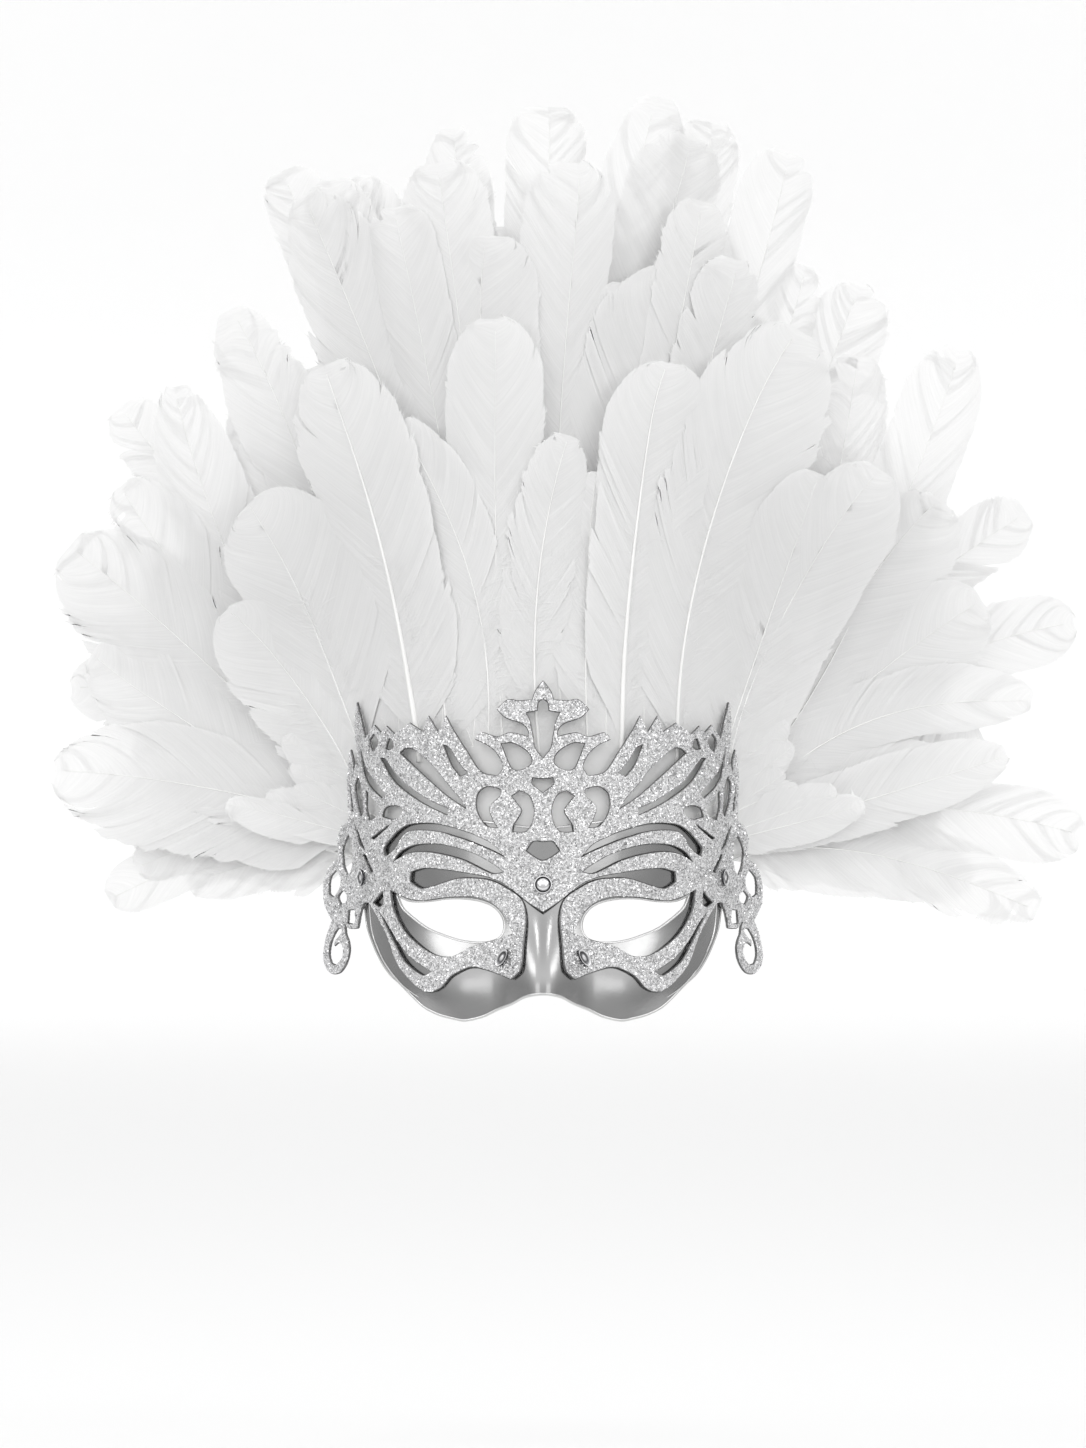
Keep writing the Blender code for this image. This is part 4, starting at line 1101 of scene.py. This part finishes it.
def vane(feather, hand):
    """Barbs on one side of a feather as strips that hold together in groups."""
    rng, style = feather.rng, feather.style
    count = max(int(feather.length / feather.step), BARBS_LEAST)
    stems = np.linspace(*STEM_ENDS, count)
    groups = clusters(feather, count)
    low, high = style.get("where", SPLIT_WHERE)
    able = [k for k, (first, _last) in enumerate(groups) if low <= stems[first] <= high]
    split_at = set(rng.choice(able, min(style["splits"], len(able)), False).tolist())
    width = BARB_PARTS + 1
    parts = []
    for number, (first, last) in enumerate(groups):
        near_tip = min(max((stems[first] - TIP_FROM) / TIP_REACH, 0.0), 1.0)
        calm = 1.0 - TIP_CALM * near_tip
        shift = rng.normal(0.0, CLUMP_SHIFT)
        scale = 1.0 - abs(rng.normal(0.0, style["ragged"])) * calm
        short = abs(rng.normal(0.0, style["ragged"])) * TIP_SHORT * near_tip
        lift = rng.normal(0.0, CLUMP_LIFT) * calm
        if number in split_at:
            shift -= style["open"] * rng.uniform(*SPLIT_SHIFT)
            scale *= 1.0 - style["open"] * rng.uniform(*SPLIT_SHORT)
        rows = np.arange(max(first - CLUMP_OVERLAP, 0), min(last + 1, count))
        if len(rows) < 2:
            continue
        bow = np.clip((rows - first) / max(last - first, 1), 0.0, 1.0) * 2.0 - 1.0
        spots = clump_points(feather, hand, stems[rows], bow, shift, scale, short, lift)
        along, share = np.meshgrid(rows * feather.step * BARB_UV, BARB_SHARES, indexing="ij")
        uvs = np.stack([along, share], axis=-1).reshape(-1, 2).tolist()
        loose = fringe(spots[:, -1], spots[:, -2], rng, hand)
        faces = []
        for i in range(len(rows) - 1):
            for a in range(i * width, i * width + BARB_PARTS):
                quad = (a, a + 1, a + width + 1, a + width)
                faces.append(quad if hand > 0 else (a, *quad[:0:-1]))
        parts += [((spots.reshape(-1, 3) * MM).tolist(), faces, uvs), loose]
    return joined(parts)


def rachis(feather, thick):
    """Tapered shaft of a feather."""
    middle = feather.lean * feather.half_at(SHAFT_STEPS)
    raised = np.full_like(SHAFT_STEPS, SHAFT_RAISED * thick)
    spots = feather.place(SHAFT_STEPS, middle, raised)
    radii = thick + (RACHIS_TIP * min(thick, 1.0) - thick) * SHAFT_STEPS ** SHAFT_TAPER
    return tube([Vector(p) for p in spots.tolist()], radii.tolist(), SHAFT_SIDES)


def down(feather, strands, highest):
    """Soft loose barbs on the lower part of the vane."""
    rng, steps = feather.rng, DOWN_STEPS
    count = len(steps)
    half = np.zeros((count, 3))
    half[:, 2] = DOWN_HALF * (1.0 - DOWN_THIN * steps)
    uvs = [(side, step) for step in steps for side in (0.0, 0.02)]
    faces = [(a, a + 1, a + 3, a + 2) for a in range(0, 2 * count - 2, 2)]
    parts = []
    for _ in range(strands):
        stem = rng.uniform(DOWN_FROM, highest)
        hand = rng.choice((-1.0, 1.0))
        long = rng.uniform(*DOWN_LONG)
        turn = rng.uniform(*DOWN_HEADING) + rng.uniform(-DOWN_WAVE, DOWN_WAVE) * steps
        across = hand * long * np.cumsum(np.sin(turn)) / count
        t = stem + long * np.cumsum(np.cos(turn)) / count / feather.length
        lift = rng.normal(*DOWN_LIFT) * steps + DOWN_UP
        spots = feather.place(np.clip(t, 0, 1), across, lift)
        pairs = np.stack([spots + half, spots - half], axis=1).reshape(-1, 3) * MM
        parts.append((pairs.tolist(), faces, uvs))
    return joined(parts)


def between(entries):
    """Shorter feathers behind the gaps of a row, each midway between two neighbours."""
    ranked = sorted(entries, key=lambda entry: math.atan2(entry[4], entry[5]))
    result = []
    for left, right in zip(ranked, ranked[1:]):
        shortest = min(math.hypot(entry[4], entry[5]) for entry in (left, right))
        root_x, root_z, bend_x, bend_z, tip_x, tip_z, _wide = (
            (p + q) / 2.0 for p, q in zip(left, right))
        reach = shortest * FILL_REACH / max(math.hypot(tip_x, tip_z), 1.0)
        tip_x, tip_z = tip_x * reach, tip_z * reach
        bend_x = FILL_STRAIGHT * (root_x + tip_x) / 2 + (1 - FILL_STRAIGHT) * bend_x * reach
        bend_z = FILL_STRAIGHT * (root_z + tip_z) / 2 + (1 - FILL_STRAIGHT) * bend_z * reach
        wide = max(left[-1], right[-1])
        result.append((root_x, root_z, bend_x, bend_z, tip_x, tip_z, wide))
    return result


def coverts(count, reach, wide):
    """Short soft feathers that hide the roots, fanned round the crown."""
    result = []
    for i in range(count):
        share = -1.0 + 2.0 * (i + 0.5) / count
        heading = share * COVERT_TURN
        bend = min(max(COVERT_BEND * heading, -COVERT_BEND_MOST), COVERT_BEND_MOST)
        x = COVERT_OUT * math.sin(bend)
        z = COVERT_HIGH - COVERT_DROP * abs(share) ** COVERT_DROP_POWER
        long = reach * (1.0 + COVERT_UNEVEN * math.sin(COVERT_BEAT * i + 1.0)) \
            * (1.0 + COVERT_SIDE_LONGER * share ** 4)
        dx, dz = math.sin(heading) * long, math.cos(heading) * long
        slim = wide * (1.0 - COVERT_SIDE_SLIM * abs(share))
        result.append((x, z, x + 0.5 * dx, z + 0.5 * dz, x + dx, z + dz, slim))
    return result


def feather_set(name, number, rows, surfaces, soft, step):
    """One piece of vanes and one of shafts from rows of (entry, style, layer, shaft)."""
    vane_parts, shaft_parts = [], []
    first_seed = sum(map(ord, name)) * 50
    for seed, (entry, style, layer, shaft) in enumerate(rows, first_seed):
        feather = Feather(entry, number, layer, style, seed, step)
        vane_parts += [vane(feather, 1.0), vane(feather, -1.0), down(feather, *soft)]
        shaft_parts.append(rachis(feather, shaft))
    verts, faces, uvs = joined(vane_parts)
    vanes = make_object("vanes_" + name, verts, faces, surfaces[0], None, uvs)
    verts, faces, _uvs = joined(shaft_parts)
    shafts = make_object("shafts_" + name, verts, faces, surfaces[1])
    for piece in (vanes, shafts):
        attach(piece, "root")
    return vanes


def feather_rows(surfaces):
    """All feathers, row by row, in place of the plain rows."""
    for number, row in enumerate(ROW_ORDER):
        entries = FEATHERS[row]
        layers = FRONT_LAYERS
        if row != "front":
            layers = [2.0 - index % 3 for index in range(len(entries))]
        shafts = [SHAFTS.get((row, index), SHAFT_USUAL) for index in range(len(entries))]
        rows = list(zip(entries, FEATHER_STYLES[row].split(), layers, shafts))
        vanes = feather_set(row, number, rows, surfaces, DOWN[row], BARB_STEP)
        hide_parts("feather_row_" + row)
        fill = [(entry, "fill", FILL_LAYER, SHAFT_FAINT) for entry in between(entries)]
        feather_set(row + "_fill", number, fill, surfaces, DOWN["fill"], BARB_STEP_HIDDEN)
        short = [(entry, "soft", COVERT_LAYERS[index % 2], SHAFT_FAINT)
                 for index, entry in enumerate(coverts(*COVERTS[row]))]
        feather_set(row + "_coverts", number, short, surfaces, DOWN["coverts"],
                    BARB_STEP_HIDDEN)
        band = strip_piece(row, number, surfaces[0])
        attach(band, "root")


def strip_piece(row, number, surface):
    """Felt strip that carries a row."""
    outer = -ROW_CLEARANCE - number * ROW_STEP
    half = drawn(LINING_EDGE if number == 0 else STRIP_EDGE)
    edge = dense(unrolled(smooth_loop(both_halves(half), STRIP_PIECES)), STRIP_EDGE_STEP)
    sheet, _front = sheet_parts([edge], STRIP_STEP,
                                lambda x, z, out: row_point(x, z, out, number),
                                outer - STRIP_WALL, outer)
    return make_object("felt_strip_" + row, *sheet, surface, SHEET_SHARP)


class Surface:
    """Material with its Principled shader, and short ways to add to it."""

    def __init__(self, name, colour, metallic, rough):
        self.made = bpy.data.materials.new(name)
        self.made.use_nodes = True
        self.made.diffuse_color = (*colour, 1.0)
        self.nodes, self.links = self.made.node_tree.nodes, self.made.node_tree.links
        self.shader = self.nodes["Principled BSDF"]
        self.put(self.shader, {"Base Color": (*colour, 1.0), "Metallic": metallic,
                               "Roughness": rough})

    @staticmethod
    def put(node, values):
        """Constants on a node's inputs."""
        for name, value in values.items():
            node.inputs[name].default_value = value

    def add(self, kind, values=None, operation=None):
        """New node of a kind."""
        node = self.nodes.new("ShaderNode" + kind)
        if operation:
            node.operation = operation
        self.put(node, values or {})
        return node

    def join(self, *pairs):
        """Links from outputs to inputs."""
        for source, target in pairs:
            self.links.new(source, target)

    def noise(self, scale, detail=3.0):
        """Noise value on object coordinates."""
        coord = self.add("TexCoord")
        tex = self.add("TexNoise", {"Scale": scale, "Detail": detail})
        self.join((coord.outputs["Object"], tex.inputs["Vector"]))
        return tex.outputs["Fac"]

    def rough_range(self, value, low, high):
        """Roughness that follows a value between two limits."""
        spread = self.add("MapRange", {"To Min": low, "To Max": high})
        self.join((value, spread.inputs["Value"]),
                  (spread.outputs["Result"], self.shader.inputs["Roughness"]))

    def relief(self, value, strength, distance):
        """Fine relief that follows a value."""
        node = self.add("Bump", {"Strength": strength, "Distance": distance})
        self.join((value, node.inputs["Height"]),
                  (node.outputs["Normal"], self.shader.inputs["Normal"]))

    def ramp_colour(self, value, stops):
        """Base colour from a value by a colour ramp."""
        ramp = ramp_node(self.nodes, self.links, value, stops)
        self.join((ramp.outputs["Color"], self.shader.inputs["Base Color"]))


def ramp_node(nodes, links, source, stops):
    """Colour ramp from a value."""
    ramp = nodes.new("ShaderNodeValToRGB")
    for element, (place, colour) in zip(ramp.color_ramp.elements, (stops[0], stops[-1])):
        element.position = place
        element.color = (*colour, 1.0)
    for place, colour in stops[1:-1]:
        ramp.color_ramp.elements.new(place).color = (*colour, 1.0)
    links.new(source, ramp.inputs["Fac"])
    return ramp


def satin_surface(name, tone):
    """Smooth metallised plastic with the faintest unevenness; its lighter and darker copies
    carry painted highlights and painted shadow lines.
    """
    satin = Surface(name, (tone, tone, tone), 1.0, 0.16)
    satin.put(satin.shader, {"Specular Tint": (0.5, 0.5, 0.5, 1.0)})
    satin.rough_range(satin.noise(90.0), 0.17, 0.27)
    satin.relief(satin.noise(420.0, 2.0), 0.06, 0.0004)
    return satin.made


def glitter_surface():
    """Glitter skin: every small cell faces its own way and has its own tone."""
    skin = Surface("glitter_skin", (0.62, 0.62, 0.63), 0.72, 0.32)
    coord = skin.add("TexCoord")
    cells = skin.add("TexVoronoi", {"Scale": 1700.0})
    centre = skin.add("VectorMath", {1: (0.5, 0.5, 0.5)}, "SUBTRACT")
    scaled = skin.add("VectorMath", {"Scale": 1.5}, "SCALE")
    normal = skin.add("NewGeometry")
    total = skin.add("VectorMath", operation="ADD")
    unit = skin.add("VectorMath", operation="NORMALIZE")
    split = skin.add("SeparateColor")
    skin.join((coord.outputs["Object"], cells.inputs["Vector"]),
              (cells.outputs["Color"], centre.inputs[0]),
              (centre.outputs["Vector"], scaled.inputs[0]),
              (normal.outputs["Normal"], total.inputs[0]),
              (scaled.outputs["Vector"], total.inputs[1]),
              (total.outputs["Vector"], unit.inputs[0]),
              (unit.outputs["Vector"], skin.shader.inputs["Normal"]),
              (cells.outputs["Color"], split.inputs["Color"]))
    skin.ramp_colour(split.outputs["Green"],
                     [(0.0, (0.26, 0.26, 0.265)), (0.35, (0.68, 0.68, 0.69)),
                      (0.6, (0.98, 0.98, 0.99)), (1.0, (1.0, 1.0, 1.0))])
    return skin.made


def flake_surface():
    """Bright loose flakes."""
    flake = Surface("glitter_flake", (0.9, 0.9, 0.91), 1.0, 0.16)
    flake.ramp_colour(flake.noise(2400.0, 0.0),
                      [(0.3, (0.55, 0.55, 0.56)), (0.7, (1.0, 1.0, 1.0))])
    return flake.made


def stud_surface():
    """Polished metal, slightly worn, with painted highlights and painted shade in rings."""
    metal = Surface("stud_metal", (0.80, 0.80, 0.81), 1.0, 0.14)
    metal.rough_range(metal.noise(700.0), 0.08, 0.26)
    coord, split = metal.add("TexCoord"), metal.add("SeparateXYZ")
    metal.join((coord.outputs["UV"], split.inputs["Vector"]))
    # Painted highlight at 0 and painted shade at 1, read from the texture places that the stud
    # rings carry
    metal.ramp_colour(split.outputs["X"],
                      [(0.0, (0.84, 0.84, 0.85)), (1.0, (0.07, 0.07, 0.075))])
    return metal.made


def vane_surface():
    """White vane with fine lines along the barbs that lets some light through."""
    white = Surface("feather_vane", (0.90, 0.90, 0.89), 0.0, 0.62)
    white.put(white.shader, {"Sheen Weight": 0.25, "Sheen Roughness": 0.45})
    coord = white.add("TexCoord")
    stretch = white.add("Mapping", {"Scale": (9.0, 1.1, 1.0)})
    lines = white.add("TexNoise", {"Scale": 1.0, "Detail": 2.0})
    white.join((coord.outputs["UV"], stretch.inputs["Vector"]),
               (stretch.outputs["Vector"], lines.inputs["Vector"]))
    white.ramp_colour(lines.outputs["Fac"],
                      [(0.25, (0.89, 0.89, 0.888)), (0.75, (0.985, 0.985, 0.982))])
    white.relief(lines.outputs["Fac"], 0.35, 0.0003)
    through = white.add("BsdfTranslucent", {"Color": (0.90, 0.90, 0.90, 1.0)})
    thin = white.add("SeparateXYZ")
    edge = white.add("MapRange", {"From Min": 0.35, "To Min": 0.30, "To Max": 0.34})
    mix = white.add("MixShader")
    white.join((coord.outputs["UV"], thin.inputs["Vector"]),
               (thin.outputs["Y"], edge.inputs["Value"]),
               (edge.outputs["Result"], mix.inputs["Fac"]),
               (white.shader.outputs["BSDF"], mix.inputs[1]),
               (through.outputs["BSDF"], mix.inputs[2]),
               (mix.outputs["Shader"], white.nodes["Material Output"].inputs["Surface"]))
    return white.made


def shaft_surface():
    """Smooth horn of the shafts."""
    horn = Surface("feather_shaft", (0.93, 0.93, 0.92), 0.0, 0.38)
    horn.ramp_colour(horn.noise(60.0),
                     [(0.3, (0.88, 0.88, 0.87)), (0.7, (0.96, 0.96, 0.95))])
    return horn.made


def studio():
    """White sweep, soft lights and the pale surroundings."""
    scene = bpy.context.scene
    scene.view_settings.view_transform = "Standard"
    paper = Surface("backdrop_paper", (SWEEP_TONE, SWEEP_TONE, SWEEP_TONE), 0.0, 0.9)
    turns = np.linspace(0.0, math.pi / 2, SWEEP_STEPS)
    curve = [(SWEEP_BACK + SWEEP_CURVE * math.sin(a),
              SWEEP_FLOOR + SWEEP_CURVE * (1.0 - math.cos(a))) for a in turns]
    profile = [(SWEEP_FRONT, SWEEP_FLOOR), *curve, (SWEEP_BACK + SWEEP_CURVE, SWEEP_TOP)]
    verts = [(x, y, z) for y, z in profile for x in (-SWEEP_HALF, SWEEP_HALF)]
    faces = [(2 * i, 2 * i + 1, 2 * i + 3, 2 * i + 2) for i in range(len(profile) - 1)]
    sweep = make_object("sweep_floor", verts, faces, paper.made)
    surroundings(scene)
    for name, spot, target, wide, tall, power in LIGHTS:
        data = bpy.data.lights.new(name, "AREA")
        data.shape = "RECTANGLE"
        data.size = wide
        data.size_y = tall
        data.energy = power
        lamp = bpy.data.objects.new(name, data)
        lamp.location = spot
        aim = Vector(target) - Vector(spot)
        lamp.rotation_euler = aim.to_track_quat("-Z", "Y").to_euler()
        scene.collection.objects.link(lamp)


def surroundings(scene):
    """Room that is brightest above the mask and dimmer below and at the sides."""
    world = bpy.data.worlds.new("studio")
    scene.world = world
    world.use_nodes = True
    nodes, links = world.node_tree.nodes, world.node_tree.links
    coord = nodes.new("ShaderNodeTexCoord")
    split = nodes.new("ShaderNodeSeparateXYZ")
    links.new(coord.outputs["Generated"], split.inputs["Vector"])
    height = nodes.new("ShaderNodeMapRange")
    height.inputs["From Min"].default_value = -1.0
    links.new(split.outputs["Z"], height.inputs["Value"])
    side = nodes.new("ShaderNodeMath")
    side.operation = "ABSOLUTE"
    links.new(split.outputs["X"], side.inputs[0])
    mix = nodes.new("ShaderNodeMix")
    mix.data_type = "RGBA"
    mix.blend_type = "MULTIPLY"
    mix.inputs["Factor"].default_value = 1.0
    sources = ((height.outputs["Result"], ROOM, "A"), (side.outputs["Value"], ROOM_SIDES, "B"))
    for source, light_shade_tones, target in sources:
        stops = [(place, (tone, tone, tone)) for place, tone in light_shade_tones]
        ramp = ramp_node(nodes, links, source, stops)
        links.new(ramp.outputs["Color"], mix.inputs[target])
    back = nodes["Background"]
    links.new(mix.outputs["Result"], back.inputs["Color"])
    back.inputs["Strength"].default_value = ROOM_STRENGTH


def camera():
    """Straight front view with a long lens, framed as the photograph."""
    data = bpy.data.cameras.new("camera")
    data.sensor_fit = "VERTICAL"
    data.sensor_height = SENSOR
    data.sensor_width = SENSOR
    data.lens = SENSOR * CAMERA_AWAY / (PHOTO_TALL_MM * MM)
    data.clip_end = CAMERA_CLIP
    eye = bpy.data.objects.new("camera", data)
    eye.location = (0.0, -CAMERA_AWAY, PHOTO_MIDDLE_UP * MM)
    eye.rotation_euler = (math.pi / 2, 0.0, 0.0)
    bpy.context.scene.collection.objects.link(eye)
    bpy.context.scene.camera = eye


camera()
studio()
# A lighter copy of the satin on the rims and creases paints their highlight
shell_piece(satin_surface("satin_silver", 0.385), satin_surface("rim_silver_painted_highlight", 0.66))
# The dark satin on the lattice's edge bead is painted shadow
lattice_piece(glitter_surface(), flake_surface(), satin_surface("painted_shadow_line", 0.16))
stud_metal = stud_surface()
for stud_node in STUD_LOOKS:
    stud_piece(stud_node, stud_metal)
feather_rows((vane_surface(), shaft_surface()))
